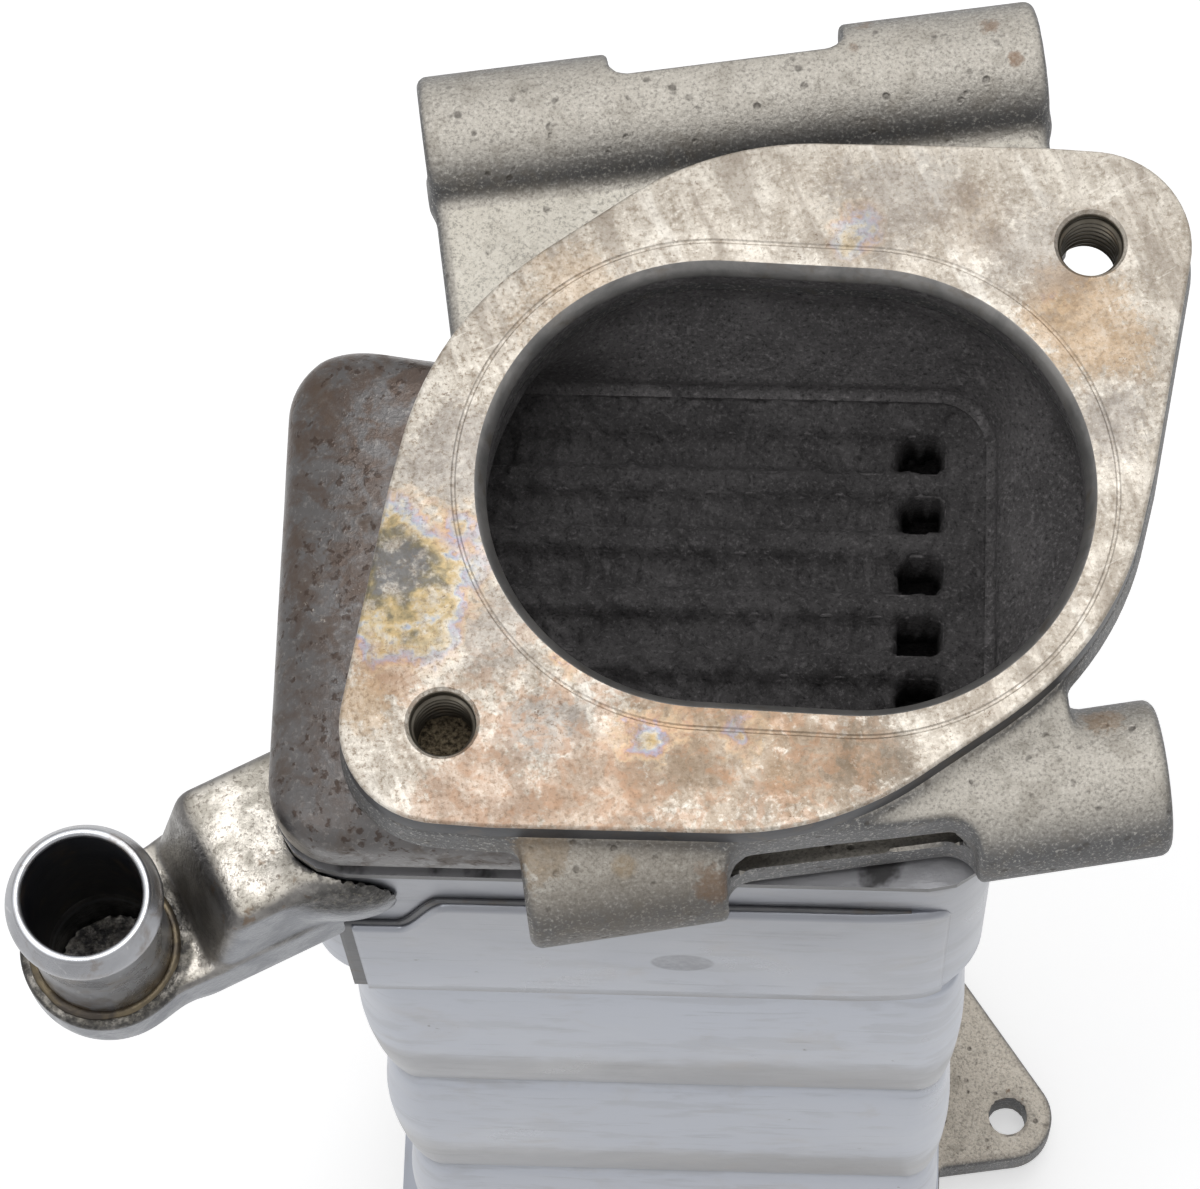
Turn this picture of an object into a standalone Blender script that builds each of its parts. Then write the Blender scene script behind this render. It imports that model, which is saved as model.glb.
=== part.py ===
"""EGR cooler: a stainless gas-to-coolant heat exchanger standing on its outlet flange.

Exhaust gas enters the cast inlet flange on top, runs down six flat finned tubes and leaves
through the outlet flange at the foot. Coolant enters by the elbow on the upper left, fills the
shell round the tubes and leaves by the spigot low on the back.

Frame: metres, +Z up along the tubes, the ribbed front of the shell faces -Y, and the origin is
the bottom centre of the whole object's box.
"""
import math

import bmesh
import bpy
from mathutils import Matrix, Vector

MM = 0.001
GAP = 0.3 * MM

# Height and the pieces along it, measured from each flange face inwards
HEIGHT = 330 * MM
FLANGE_DEPTH = 9.7 * MM
FLANGE_BAND = 4.0 * MM
FLANGE_EDGE = 0.4 * MM
PORT_CHAMFER = 0.7 * MM
TANK_DEPTH = 14.4 * MM
TANK_LIP_DEPTH = 10.6 * MM
HEADER_THICKNESS = 1.5 * MM
COLLAR_HEIGHT = 52 * MM

# Body shell round the tubes
SHELL_HALF_X = 38.5 * MM
SHELL_HALF_Y = 31.0 * MM
SHELL_CORNER = 3.5 * MM
SHELL_WALL = 1.2 * MM
RIB_COUNT = 3
RIB_HEIGHT = 2.2 * MM
RIB_LEFT_HEIGHT = 3.4 * MM
RIB_RIGHT_HEIGHT = 1.8 * MM
RIB_CORNER = 7.0 * MM
RIB_POWER = 0.55
TONGUE_HEIGHT = 41.3 * MM
TONGUE_WALL = 0.8 * MM
TONGUE_LEFT = -SHELL_HALF_X
TONGUE_RIGHT_INSET = 2.0 * MM
TONGUE_RIGHT = SHELL_HALF_X - TONGUE_RIGHT_INSET
TONGUE_STEP_WIDTH = 11.8 * MM
TONGUE_STEP_SLOPE = 5.4 * MM
TONGUE_STEP_DROP = 11.3 * MM
TONGUE_STEP_CORNER = 4.0 * MM
TONGUE_ROOT = 0.8 * MM

# Coolant collars, one at each end of the shell
COLLAR_STEP_LEFT = 7.5 * MM
COLLAR_STEP_RIGHT = 3.1 * MM
COLLAR_STEP_Y = 0.6 * MM
COLLAR_LEFT = SHELL_HALF_X + COLLAR_STEP_LEFT
COLLAR_RIGHT = SHELL_HALF_X + COLLAR_STEP_RIGHT
COLLAR_HALF_Y = SHELL_HALF_Y + COLLAR_STEP_Y
COLLAR_CORNER = 8.5 * MM
COLLAR_WALL = 1.5 * MM
SHELF_WIDTH = 4.2 * MM

# Gas tanks and header plates
TANK_LAP = 0.6 * MM
TANK_LEFT = COLLAR_LEFT + TANK_LAP
TANK_RIGHT = COLLAR_RIGHT + TANK_LAP
TANK_HALF_Y = COLLAR_HALF_Y + TANK_LAP
TANK_CORNER = 9.0 * MM
TANK_WALL = 1.4 * MM
TANK_NECK = 2.2 * MM
TANK_SHOULDER = 8.0 * MM
TANK_RAMP = 9.8 * MM
TANK_TUCK = 1.3 * MM
BROW_POWER = 0.55
TANK_SLANT_X = -16.0 * MM

# Gas tubes and their fins
TUBE_COUNT = 6
TUBE_SIDE_ROOM = 2.3 * MM
TUBE_STACK_ROOM = 12.2 * MM
TUBE_SPACE = 2.1 * MM
TUBE_STACK_Y = 3.45 * MM
TUBE_HALF_X = SHELL_HALF_X - SHELL_WALL - TUBE_SIDE_ROOM
TUBE_PITCH = (2 * (SHELL_HALF_Y - SHELL_WALL) - TUBE_STACK_ROOM) / TUBE_COUNT
TUBE_HALF_Y = (TUBE_PITCH - TUBE_SPACE) / 2
TUBE_CORNER = 1.8 * MM
TUBE_WALL = 0.5 * MM
TUBE_STAND = 0.8 * MM
FIN_THICKNESS = 0.3 * MM
FIN_SPACING = 2.3 * MM
FIN_SETBACK = 3.0 * MM
FIN_SIDE_ROOM = 5.0 * MM

# Gas ports, each with the clocking of its casting about the port's axis
PORT_X = 14.8 * MM
PORT_Y = 10.4 * MM
PORT_HALF_STRAIGHT = 8.8 * MM
PORT_RADIUS = 27.5 * MM
PORT_TURN = math.radians(-11)
CLOCK = math.radians(9)
OUTLET_PORT_X = 0.0 * MM
OUTLET_PORT_Y = 3.4 * MM
OUTLET_PORT_ROOM = 6.2 * MM
OUTLET_PORT_RADIUS = TANK_HALF_Y - OUTLET_PORT_ROOM
OUTLET_CLOCK = math.radians(99)

# Flange outline: two bolt lobes and two broad corners, each pair opposite the other
FLANGE_X = -1.6 * MM
FLANGE_Y = 0.85 * MM
BOLT_X = 42.3 * MM
BOLT_Y = 24.9 * MM
LOBE_RADIUS = 12.2 * MM
BROAD_X = 5.6 * MM
BROAD_RADIUS = 40.0 * MM
BOLT_HOLE_RADIUS = 3.9 * MM
BOLT_CHAMFER = 0.5 * MM
CAST_DRAFT = 0.6 * MM

# Bored bolt bars behind and in front of the inlet flange, with their waists and webs
BAR_RADIUS = 8.7 * MM
BAR_LEFT = -37.9 * MM
BAR_RIGHT = 39.3 * MM
BAR_Y = 53.7 * MM
BAR_Z = -10.5 * MM
BAR_BORE_RADIUS = 4.4 * MM
BAR_WAIST_LEFT = -14.0 * MM
BAR_WAIST_RIGHT = 15.0 * MM
BAR_WAIST_DEPTH = 5.5 * MM
BAR_WAIST_CORNER = 2.5 * MM
WEB_TOP = -8.5 * MM
WEB_THICKNESS = 6.5 * MM
FRONT_BAR_RADIUS = 9.4 * MM
FRONT_BAR_LEFT_Y = -39.1 * MM
FRONT_BAR_RIGHT_Y = -37.4 * MM
FRONT_BAR_Z = -14.9 * MM
FRONT_BAR_LEFT = -36.9 * MM
FRONT_BAR_RIGHT = 40.4 * MM
FRONT_BORE_RADIUS = 4.2 * MM
FRONT_BORE_LEFT = -16.0 * MM
FRONT_WEB_RIGHT = 30.0 * MM
WINDOW_LEFT = -13.0 * MM
WINDOW_RIGHT = 17.0 * MM
WINDOW_Y = -41.7 * MM
WINDOW_CORNER = 4.0 * MM
CAST_ROUNDING = 1.4 * MM

# Ear of the outlet casting
EAR_HOLE_X = 39.9 * MM
EAR_HOLE_Y = -9.3 * MM
EAR_HOLE_RADIUS = 3.3 * MM
EAR_CORNER = 7.8 * MM
EAR_BACK_ANGLE = math.radians(116.7)
EAR_BACK_LENGTH = 45 * MM
EAR_EDGE_ROUNDING = 1.5 * MM

# Coolant elbow and spigots
SPIGOT_OUT = 23.0 * MM
SPIGOT_FORWARD = 5.0 * MM
SPIGOT_X = -(COLLAR_LEFT + SPIGOT_OUT)
SPIGOT_Y = -(COLLAR_HALF_Y + SPIGOT_FORWARD)
SPIGOT_RADIUS = 8.6 * MM
SPIGOT_BEAD = 1.2 * MM
SPIGOT_BEAD_START = 6.6 * MM
SPIGOT_WALL = 1.2 * MM
SPIGOT_RISE = 24 * MM
SOCKET_WALL = 2.2 * MM
SOCKET_DEPTH = 3.0 * MM
SOCKET_EDGE = 0.6 * MM
ELBOW_ANGLE = math.radians(28)
ELBOW_TOP = -45.0 * MM
ELBOW_DEPTH = 17.0 * MM
ELBOW_HALF_WIDTH = 9.6 * MM
ELBOW_PASSAGE_RADIUS = 4.6 * MM
ELBOW_BLOCK_START = 10.8 * MM
ELBOW_BLOCK_TOP = -30.0 * MM
ELBOW_BLOCK_SLOPE = 4.5 * MM
ELBOW_BLOCK_CORNER = 3.0 * MM
ELBOW_CORNER = 0.8 * MM
OUTLET_SPIGOT_X = -18.0 * MM
OUTLET_BOSS_RADIUS = 11.5 * MM
OUTLET_BOSS_LENGTH = 7.0 * MM
OUTLET_SPIGOT_LENGTH = 34 * MM

ARC_STEPS = 4
SIDE_PARTS = 4
ROUND_STEPS = 24


def clear_scene():
    for item in list(bpy.data.objects):
        bpy.data.objects.remove(item, do_unlink=True)


def make_collection(name):
    collection = bpy.data.collections.new(name)
    bpy.context.scene.collection.children.link(collection)
    return collection


def make_material(name, color, roughness, metallic=1.0):
    material = bpy.data.materials.new(name)
    material.use_nodes = True
    shader = material.node_tree.nodes["Principled BSDF"]
    shader.inputs["Base Color"].default_value = (*color, 1.0)
    shader.inputs["Roughness"].default_value = roughness
    shader.inputs["Metallic"].default_value = metallic
    return material


def add_object(name, mesh, material=None):
    piece = bpy.data.objects.new(name, mesh)
    PARTS.objects.link(piece)
    if material:
        mesh.materials.clear()
        mesh.materials.append(material)
    return piece


def as_cutter(piece):
    """Hide a shape from the finished part and keep it as a tool for Booleans."""
    if piece.name in PARTS.objects:
        PARTS.objects.unlink(piece)
        CUTTERS.objects.link(piece)
    piece.hide_render = True
    piece.display_type = "WIRE"
    return piece


def boolean(piece, tool, operation):
    modifier = piece.modifiers.new(operation.title() + " " + tool.name, "BOOLEAN")
    modifier.operation = operation
    modifier.object = as_cutter(tool)
    modifier.solver = "EXACT"
    return piece


def cut(piece, *tools):
    for tool in tools:
        boolean(piece, tool, "DIFFERENCE")
    return piece


def join(piece, *tools):
    for tool in tools:
        boolean(piece, tool, "UNION")
    return piece


def shade_round(piece, angle=math.radians(35)):
    piece.data.shade_smooth()
    piece.data.set_sharp_from_angle(angle=angle)
    return piece


def rounded_polygon(corners, radii, steps=ARC_STEPS):
    """Walk the corners anticlockwise and swap each for an arc of its own radius."""
    outline = []
    count = len(corners)
    for index, corner in enumerate(corners):
        here = Vector(corner)
        back = (Vector(corners[index - 1]) - here).normalized()
        ahead = (Vector(corners[(index + 1) % count]) - here).normalized()
        half_angle = back.angle(ahead) / 2
        radius = radii[index]
        centre = here + (back + ahead).normalized() * (radius / math.sin(half_angle))
        reach = radius / math.tan(half_angle)
        start = here + back * reach - centre
        sweep = math.pi - 2 * half_angle
        for step in range(steps + 1):
            turn = Matrix.Rotation(sweep * step / steps, 2)
            outline.append(tuple(centre + turn @ start))
    return outline


def grown_polygon(corners, grow):
    """Move every side of an anticlockwise convex polygon outwards by the same distance."""
    grown = []
    count = len(corners)
    for index, corner in enumerate(corners):
        here = Vector(corner)
        back = (here - Vector(corners[index - 1])).normalized()
        ahead = (Vector(corners[(index + 1) % count]) - here).normalized()
        normal = Vector((back.y, -back.x)) + Vector((ahead.y, -ahead.x))
        grown.append(tuple(here + normal * (2 * grow / normal.length_squared)))
    return grown


def outline_of(corners, radii, grow=0.0):
    return rounded_polygon(grown_polygon(corners, grow), [radius + grow for radius in radii])


def box_outline(left, right, half_y, corner, grow=0.0):
    corners = [(-left, -half_y), (right, -half_y), (right, half_y), (-left, half_y)]
    return outline_of(corners, [corner] * 4, grow)


def rim_outline(grow=0.0):
    return box_outline(TANK_LEFT, TANK_RIGHT, TANK_HALF_Y, TANK_CORNER, grow)


def tank_outline(port, grow=0.0):
    """The header's outline, its front right side drawn back along a casting that needs room."""
    if port["slant_x"] >= TANK_RIGHT:
        corners = [(-TANK_LEFT, -TANK_HALF_Y), (TANK_RIGHT, -TANK_HALF_Y),
                   (TANK_RIGHT, TANK_HALF_Y), (-TANK_LEFT, TANK_HALF_Y)]
        return divided(outline_of(corners, [TANK_CORNER] * 4, grow))
    front_right = -TANK_HALF_Y + math.tan(port["clock"]) * (TANK_RIGHT - port["slant_x"])
    corners = [(-TANK_LEFT, -TANK_HALF_Y), (port["slant_x"], -TANK_HALF_Y),
               (TANK_RIGHT, front_right), (TANK_RIGHT, TANK_HALF_Y), (-TANK_LEFT, TANK_HALF_Y)]
    radii = [TANK_CORNER, 2 * TANK_CORNER, TANK_CORNER, TANK_CORNER, TANK_CORNER]
    return divided(outline_of(corners, radii, grow))


def divided(outline):
    """Split the straight sides of an outline whose corners are arcs."""
    points = []
    for index, here in enumerate(outline):
        points.append(here)
        if index % (ARC_STEPS + 1) == ARC_STEPS:
            ahead = Vector(outline[(index + 1) % len(outline)])
            points += [tuple(Vector(here).lerp(ahead, k / SIDE_PARTS)) for k in range(1, SIDE_PARTS)]
    return points


def stadium_reach(angle, straight, radius):
    """Distance from the middle of a stadium to its edge along a direction."""
    c, s = abs(math.cos(angle)), abs(math.sin(angle))
    if s * straight > radius * c:
        return radius / s
    return straight * c + math.sqrt(radius ** 2 - (straight * s) ** 2)


def port_outline(port, grow=0.0, angles=None):
    """A port's stadium about its axis, in the casting's own turned frame."""
    if angles is None:
        angles = [2 * math.pi * k / ROUND_STEPS for k in range(ROUND_STEPS)]
    points = []
    for angle in angles:
        reach = stadium_reach(angle - port["turn"], port["straight"], port["radius"] + grow)
        points.append((reach * math.cos(angle), reach * math.sin(angle)))
    return points


def flange_outline(grow=0.0):
    """Lobe arc, tangent side, broad arc, and the same again turned half round."""
    lobe = LOBE_RADIUS + grow
    broad = BROAD_RADIUS + grow
    lobe_centre = Vector((BOLT_X, BOLT_Y))
    broad_centre = Vector((BROAD_X, BROAD_RADIUS - BOLT_Y - LOBE_RADIUS))
    across = lobe_centre - broad_centre
    side = math.atan2(across.y, across.x) - math.acos((broad - lobe) / across.length)
    half = []
    for centre, radius, first, last in ((broad_centre, broad, -math.pi / 2, side),
                                        (lobe_centre, lobe, side, math.pi / 2)):
        for step in range(2 * ARC_STEPS + 1):
            angle = first + (last - first) * step / (2 * ARC_STEPS)
            half.append(centre + radius * Vector((math.cos(angle), math.sin(angle))))
    middle = Vector((FLANGE_X, FLANGE_Y))
    return [tuple(middle + p) for p in half] + [tuple(middle - p) for p in half]


def face_outwards(work):
    """Turn an open skin so that its faces look away from its middle."""
    middle = sum((vertex.co for vertex in work.verts), Vector()) / len(work.verts)
    outward = 0.0
    for face in work.faces:
        face.normal_update()
        outward += face.calc_area() * face.normal.dot(face.calc_center_median() - middle)
    if outward < 0:
        bmesh.ops.reverse_faces(work, faces=work.faces)


def loft(name, rings, material=None, close_ends=True, wrap=False):
    """Skin a stack of equal rings of 3-D points, and cap its two ends if asked."""
    mesh = bpy.data.meshes.new(name)
    work = bmesh.new()
    rows = [[work.verts.new(point) for point in ring] for ring in rings]
    pairs = list(zip(rows, rows[1:]))
    if wrap:
        pairs.append((rows[-1], rows[0]))
    for low, high in pairs:
        for k in range(len(low)):
            n = (k + 1) % len(low)
            work.faces.new((low[k], low[n], high[n], high[k]))
    if close_ends and not wrap:
        work.faces.new(list(reversed(rows[0])))
        work.faces.new(rows[-1])
    if close_ends or wrap:
        bmesh.ops.recalc_face_normals(work, faces=work.faces)
    else:
        face_outwards(work)
    work.to_mesh(mesh)
    work.free()
    return add_object(name, mesh, material)


def level(outline, z):
    return [(x, y, z) for x, y in outline]


def turned(outline, angle, x=0.0, y=0.0):
    c, s = math.cos(angle), math.sin(angle)
    return [(x + c * px - s * py, y + s * px + c * py) for px, py in outline]


def cast_to_body(port, outline):
    """From a casting's clocked frame about its port's axis to the body's frame."""
    return turned(outline, port["clock"], port["x"], port["y"])


def plate(name, outlines, low, high, material=None):
    """A flat plate with holes: a filled 2-D curve given its thickness by extrusion."""
    curve = bpy.data.curves.new(name, "CURVE")
    curve.dimensions = "2D"
    curve.fill_mode = "BOTH"
    curve.extrude = (high - low) / 2
    for outline in outlines:
        spline = curve.splines.new("POLY")
        spline.points.add(len(outline) - 1)
        for point, (x, y) in zip(spline.points, outline):
            point.co = (x, y, 0, 1)
        spline.use_cyclic_u = True
    shape = bpy.data.objects.new(name, curve)
    bpy.context.scene.collection.objects.link(shape)
    bpy.context.view_layer.update()
    graph = bpy.context.evaluated_depsgraph_get()
    mesh = bpy.data.meshes.new_from_object(shape.evaluated_get(graph))
    bpy.data.objects.remove(shape, do_unlink=True)
    bpy.data.curves.remove(curve)
    work = bmesh.new()
    work.from_mesh(mesh)
    bmesh.ops.remove_doubles(work, verts=work.verts, dist=1e-6)
    bmesh.ops.translate(work, verts=work.verts, vec=(0, 0, (low + high) / 2))
    bmesh.ops.recalc_face_normals(work, faces=work.faces)
    work.to_mesh(mesh)
    work.free()
    return add_object(name, mesh, material)


def rod(name, radius, start, end, material=None, steps=ROUND_STEPS, rounding=0.0):
    """A round bar between two points, with its end edges rounded."""
    start, end = Vector(start), Vector(end)
    axis = end - start
    mesh = bpy.data.meshes.new(name)
    work = bmesh.new()
    bmesh.ops.create_cone(work, cap_ends=True, segments=steps, radius1=radius, radius2=radius,
                          depth=axis.length)
    if rounding:
        rims = [edge for edge in work.edges if abs(edge.verts[0].co.z - edge.verts[1].co.z) < 1e-9]
        bmesh.ops.bevel(work, geom=rims, offset=rounding, segments=2, affect="EDGES", profile=0.5)
    turn = axis.to_track_quat("Z", "Y").to_matrix().to_4x4()
    bmesh.ops.transform(work, verts=work.verts, matrix=Matrix.Translation((start + end) / 2) @ turn)
    work.to_mesh(mesh)
    work.free()
    return add_object(name, mesh, material)


def block(name, low, high, rounding=0.0, material=None):
    """A box between two corners, with all its edges rounded."""
    low, high = Vector(low), Vector(high)
    mesh = bpy.data.meshes.new(name)
    work = bmesh.new()
    bmesh.ops.create_cube(work, size=1.0)
    size = high - low
    bmesh.ops.scale(work, verts=work.verts, vec=size)
    bmesh.ops.translate(work, verts=work.verts, vec=(low + high) / 2)
    if rounding:
        bmesh.ops.bevel(work, geom=list(work.edges), offset=rounding, segments=2,
                        affect="EDGES", profile=0.5)
    work.to_mesh(mesh)
    work.free()
    return add_object(name, mesh, material)


def lathe(name, profile, material, steps=ROUND_STEPS):
    """A turned ring: a closed profile of (radius, height) points swept round Z."""
    rings = []
    for k in range(steps):
        angle = 2 * math.pi * k / steps
        rings.append([(r * math.cos(angle), r * math.sin(angle), z) for r, z in profile])
    return loft(name, rings, material, close_ends=False, wrap=True)


def mirrored(rings, flip):
    """Measure heights down from the top face, or up from the bottom one."""
    if flip:
        return [[(x, y, -z) for x, y, z in ring] for ring in rings]
    return [[(x, y, HEIGHT + z) for x, y, z in ring] for ring in rings]


def sheet(name, rings, thickness, material):
    """A drawn sheet: an open skin on its outer face, thickened inwards by Solidify."""
    skin = loft(name, rings, material, close_ends=False)
    solidify = skin.modifiers.new("Wall", "SOLIDIFY")
    solidify.thickness = thickness
    solidify.offset = -1
    solidify.use_even_offset = True
    return shade_round(skin)


INLET = {"x": PORT_X, "y": PORT_Y, "clock": CLOCK, "turn": PORT_TURN,
         "straight": PORT_HALF_STRAIGHT, "radius": PORT_RADIUS, "slant_x": TANK_SLANT_X}
OUTLET = {"x": OUTLET_PORT_X, "y": OUTLET_PORT_Y, "clock": OUTLET_CLOCK, "turn": 0.0,
          "straight": 0.0, "radius": OUTLET_PORT_RADIUS, "slant_x": TANK_RIGHT}

HEADER_TOP = -(FLANGE_DEPTH + GAP + TANK_DEPTH + GAP)
COLLAR_TOP = HEADER_TOP - HEADER_THICKNESS - GAP
COLLAR_FOOT = COLLAR_TOP - COLLAR_HEIGHT


def shoulder_ring(port, mouth, rim, share, top):
    """One level of the shoulder: a rounded brow where the tank widens, a ramp where it narrows."""
    angle = share * math.pi / 2
    ring = []
    for (mx, my), (rx, ry) in zip(mouth, rim):
        spread = math.hypot(rx - port["x"], ry - port["y"]) - math.hypot(mx - port["x"],
                                                                          my - port["y"])
        brow = min(max((spread / TANK_SHOULDER - 1) / 2, 0.0), 1.0)
        out = brow * math.sin(angle) ** BROW_POWER + (1 - brow) * share
        brow_drop = TANK_SHOULDER * (1 - math.cos(angle) ** BROW_POWER)
        drop = brow * brow_drop + (1 - brow) * TANK_RAMP * share
        ring.append((mx + (rx - mx) * out, my + (ry - my) * out, top - drop))
    return ring


def tank_rings(port, grow=0.0, lift=0.0):
    """Outer face of the drawn tank: neck in the casting, shoulder, rim and tucked foot."""
    rim = tank_outline(port, grow)
    angles = [math.atan2(y - port["y"], x - port["x"]) - port["clock"] for x, y in rim]
    top = -(FLANGE_DEPTH + GAP)
    lip = top - TANK_LIP_DEPTH
    mouth = cast_to_body(port, port_outline(port, TANK_WALL + grow, angles))
    rings = [level(mouth, top + TANK_NECK), level(mouth, top + lift)]
    for share in (0.24, 0.48, 0.74, 1.0):
        rings.append(shoulder_ring(port, mouth, rim, share, top + lift))
    rings.append(level(rim, lip))
    rings.append(level(tank_outline(port, grow - TANK_TUCK), lip - TANK_TUCK * 0.4))
    rings.append(level(tank_outline(port, grow - TANK_TUCK), top - TANK_DEPTH))
    return rings


def make_tank(name, port, flip, material):
    return sheet(name, mirrored(tank_rings(port), flip), TANK_WALL, material)


def tube_y(index):
    return TUBE_STACK_Y + (index - (TUBE_COUNT - 1) / 2) * TUBE_PITCH


def tube_outline(grow, y):
    corners = grown_polygon([(-TUBE_HALF_X, y - TUBE_HALF_Y), (TUBE_HALF_X, y - TUBE_HALF_Y),
                             (TUBE_HALF_X, y + TUBE_HALF_Y), (-TUBE_HALF_X, y + TUBE_HALF_Y)], grow)
    return rounded_polygon(corners, [TUBE_CORNER + grow] * 4, ARC_STEPS // 2)


def make_header(name, flip, material):
    """A header plate with one close slot for each gas tube."""
    low, high = HEADER_TOP - HEADER_THICKNESS, HEADER_TOP
    if flip:
        low, high = -high, -low
    else:
        low, high = HEIGHT + low, HEIGHT + high
    slots = [tube_outline(GAP, tube_y(k)) for k in range(TUBE_COUNT)]
    return plate(name, [rim_outline()] + slots, low, high, material)


def make_tubes(material):
    low = -(HEADER_TOP - HEADER_THICKNESS / 2) - HEADER_THICKNESS / 2 - TUBE_STAND
    high = HEIGHT - low
    for index in range(TUBE_COUNT):
        y = tube_y(index)
        outlines = [tube_outline(0.0, y), tube_outline(-TUBE_WALL, y)]
        plate("gas_tube_%d" % (index + 1), outlines, low, high, material)
    return low, high


def strip_outline(points, thickness):
    """Both sides of a folded strip, each half its thickness from the middle line."""
    sides = ([], [])
    last = len(points) - 1
    for index, point in enumerate(points):
        here = Vector(point)
        back = (here - Vector(points[max(index - 1, 0)])).normalized()
        ahead = (Vector(points[min(index + 1, last)]) - here).normalized()
        normal = Vector((back.y + ahead.y, -back.x - ahead.x))
        shift = normal * (thickness / normal.length_squared)
        if index in (0, last):
            shift = normal.normalized() * (thickness / 2)
        sides[0].append(tuple(here + shift))
        sides[1].append(tuple(here - shift))
    return sides[0] + sides[1][::-1]


def fin_outline(y):
    """One strip folded into square waves that fill the tube from face to face."""
    reach = TUBE_HALF_X - TUBE_WALL - FIN_SIDE_ROOM
    crest = TUBE_HALF_Y - TUBE_WALL - GAP - FIN_THICKNESS / 2
    walls = 2 * int(reach / FIN_SPACING) + 1
    first = -(walls - 1) / 2 * FIN_SPACING
    wave = []
    for k in range(walls):
        x = first + k * FIN_SPACING
        rise = crest if k % 2 == 0 else -crest
        wave += [(x, y - rise), (x, y + rise)]
    return strip_outline(wave, FIN_THICKNESS)


def make_fins(low, high, material):
    for index in range(TUBE_COUNT):
        outline = fin_outline(tube_y(index))
        plate("gas_fin_%d" % (index + 1), [outline], low + FIN_SETBACK, high - FIN_SETBACK, material)


def rib_swell(depth, first, last):
    """Share of the full rib between two depths: broad crowns with narrow grooves between."""
    phase = (depth - first) / (last - first) * RIB_COUNT
    return abs(math.sin(math.pi * phase)) ** RIB_POWER


def shell_levels(low, high):
    """Heights of the shell's rings, closer together at the grooves than on the crowns."""
    inside = (0.0, 0.05, 0.17, 0.5, 0.83, 0.95)
    shares = [(rib + share) / RIB_COUNT for rib in range(RIB_COUNT) for share in inside] + [1.0]
    return [low + (high - low) * share for share in shares]


def half_path(swell, front):
    """Half of the shell's section, from one side seam round the front or the back."""
    left = SHELL_HALF_X + RIB_LEFT_HEIGHT * swell
    right = SHELL_HALF_X + RIB_RIGHT_HEIGHT * swell
    if not front:
        left, right = right, left
    half_y = SHELL_HALF_Y + RIB_HEIGHT * swell
    corner = SHELL_CORNER + (RIB_CORNER - SHELL_CORNER) * swell
    corners = box_outline(left, right, half_y, corner)
    path = [(-left, -GAP / 2)] + corners[:len(corners) // 2] + [(right, -GAP / 2)]
    if not front:
        path = [(-x, -y) for x, y in path]
    return path


def strip_mesh(name, rings, material):
    """An open skin between open rows of points."""
    mesh = bpy.data.meshes.new(name)
    work = bmesh.new()
    rows = [[work.verts.new(point) for point in ring] for ring in rings]
    for low, high in zip(rows, rows[1:]):
        for k in range(len(low) - 1):
            work.faces.new((low[k], low[k + 1], high[k + 1], high[k]))
    face_outwards(work)
    work.to_mesh(mesh)
    work.free()
    return add_object(name, mesh, material)


def make_shell(material):
    """Two pressed halves that meet at the side seams; the front one has a tongue on top."""
    low = -COLLAR_FOOT + GAP
    high = HEIGHT - low
    for front in (True, False):
        rings = []
        for z in shell_levels(low, high):
            swell = rib_swell(z, low, high)
            rings.append(level(half_path(swell, front), z))
        name = "shell_front" if front else "shell_back"
        half = strip_mesh(name, rings, material)
        solidify = half.modifiers.new("Wall", "SOLIDIFY")
        solidify.thickness = SHELL_WALL
        solidify.offset = -1
        solidify.use_even_offset = True
        shade_round(half)
    return low, high


def collar_rings():
    """Shelf under the header plate, rounded rim, straight wall and a step in to the shell."""
    def ring(grow, z):
        return level(box_outline(COLLAR_LEFT, COLLAR_RIGHT, COLLAR_HALF_Y, COLLAR_CORNER, grow), z)
    foot_inset = COLLAR_HALF_Y - SHELL_HALF_Y
    rim = COLLAR_WALL * 1.2
    rings = [ring(-SHELF_WIDTH, COLLAR_TOP), ring(-rim, COLLAR_TOP),
             ring(-rim * 0.3, COLLAR_TOP - rim * 0.3), ring(0.0, COLLAR_TOP - rim)]
    rings.append(ring(0.0, COLLAR_FOOT + 2 * rim))
    foot = box_outline(SHELL_HALF_X, SHELL_HALF_X, SHELL_HALF_Y, SHELL_CORNER, 0.0)
    side = box_outline(COLLAR_LEFT, COLLAR_RIGHT, COLLAR_HALF_Y, COLLAR_CORNER, 0.0)
    halfway = [((a + c) / 2, (b + d) / 2) for (a, b), (c, d) in zip(foot, side)]
    rings.append(level(halfway, COLLAR_FOOT + rim * 0.6))
    rings.append(level(foot, COLLAR_FOOT))
    return rings


def make_collar(name, flip, material):
    return sheet(name, mirrored(collar_rings(), flip), COLLAR_WALL, material)

def place(piece, seat):
    piece.parent = seat
    return piece


def make_seat(name, location, angle, root):
    """An empty that carries a casting's own frame."""
    seat = bpy.data.objects.new(name, None)
    PARTS.objects.link(seat)
    seat.location = location
    seat.rotation_euler = (0, 0, angle)
    seat.parent = root
    return seat


def facing(z, flip):
    """Heights in a casting's frame run down from the inlet face, or up from the outlet face."""
    return -z if flip else z


def flange_solid(name, flip, material):
    """Machined band next to the sealing face, then a cast band with draft."""
    edge = FLANGE_EDGE
    steps = [(0.0, -edge), (-edge, 0.0), (-FLANGE_BAND, 0.0),
             (-FLANGE_BAND - edge, CAST_DRAFT * 0.6), (-FLANGE_DEPTH + edge, CAST_DRAFT),
             (-FLANGE_DEPTH, CAST_DRAFT - edge)]
    rings = [level(flange_outline(grow), facing(z, flip)) for z, grow in steps]
    return loft(name, rings, material)


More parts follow.
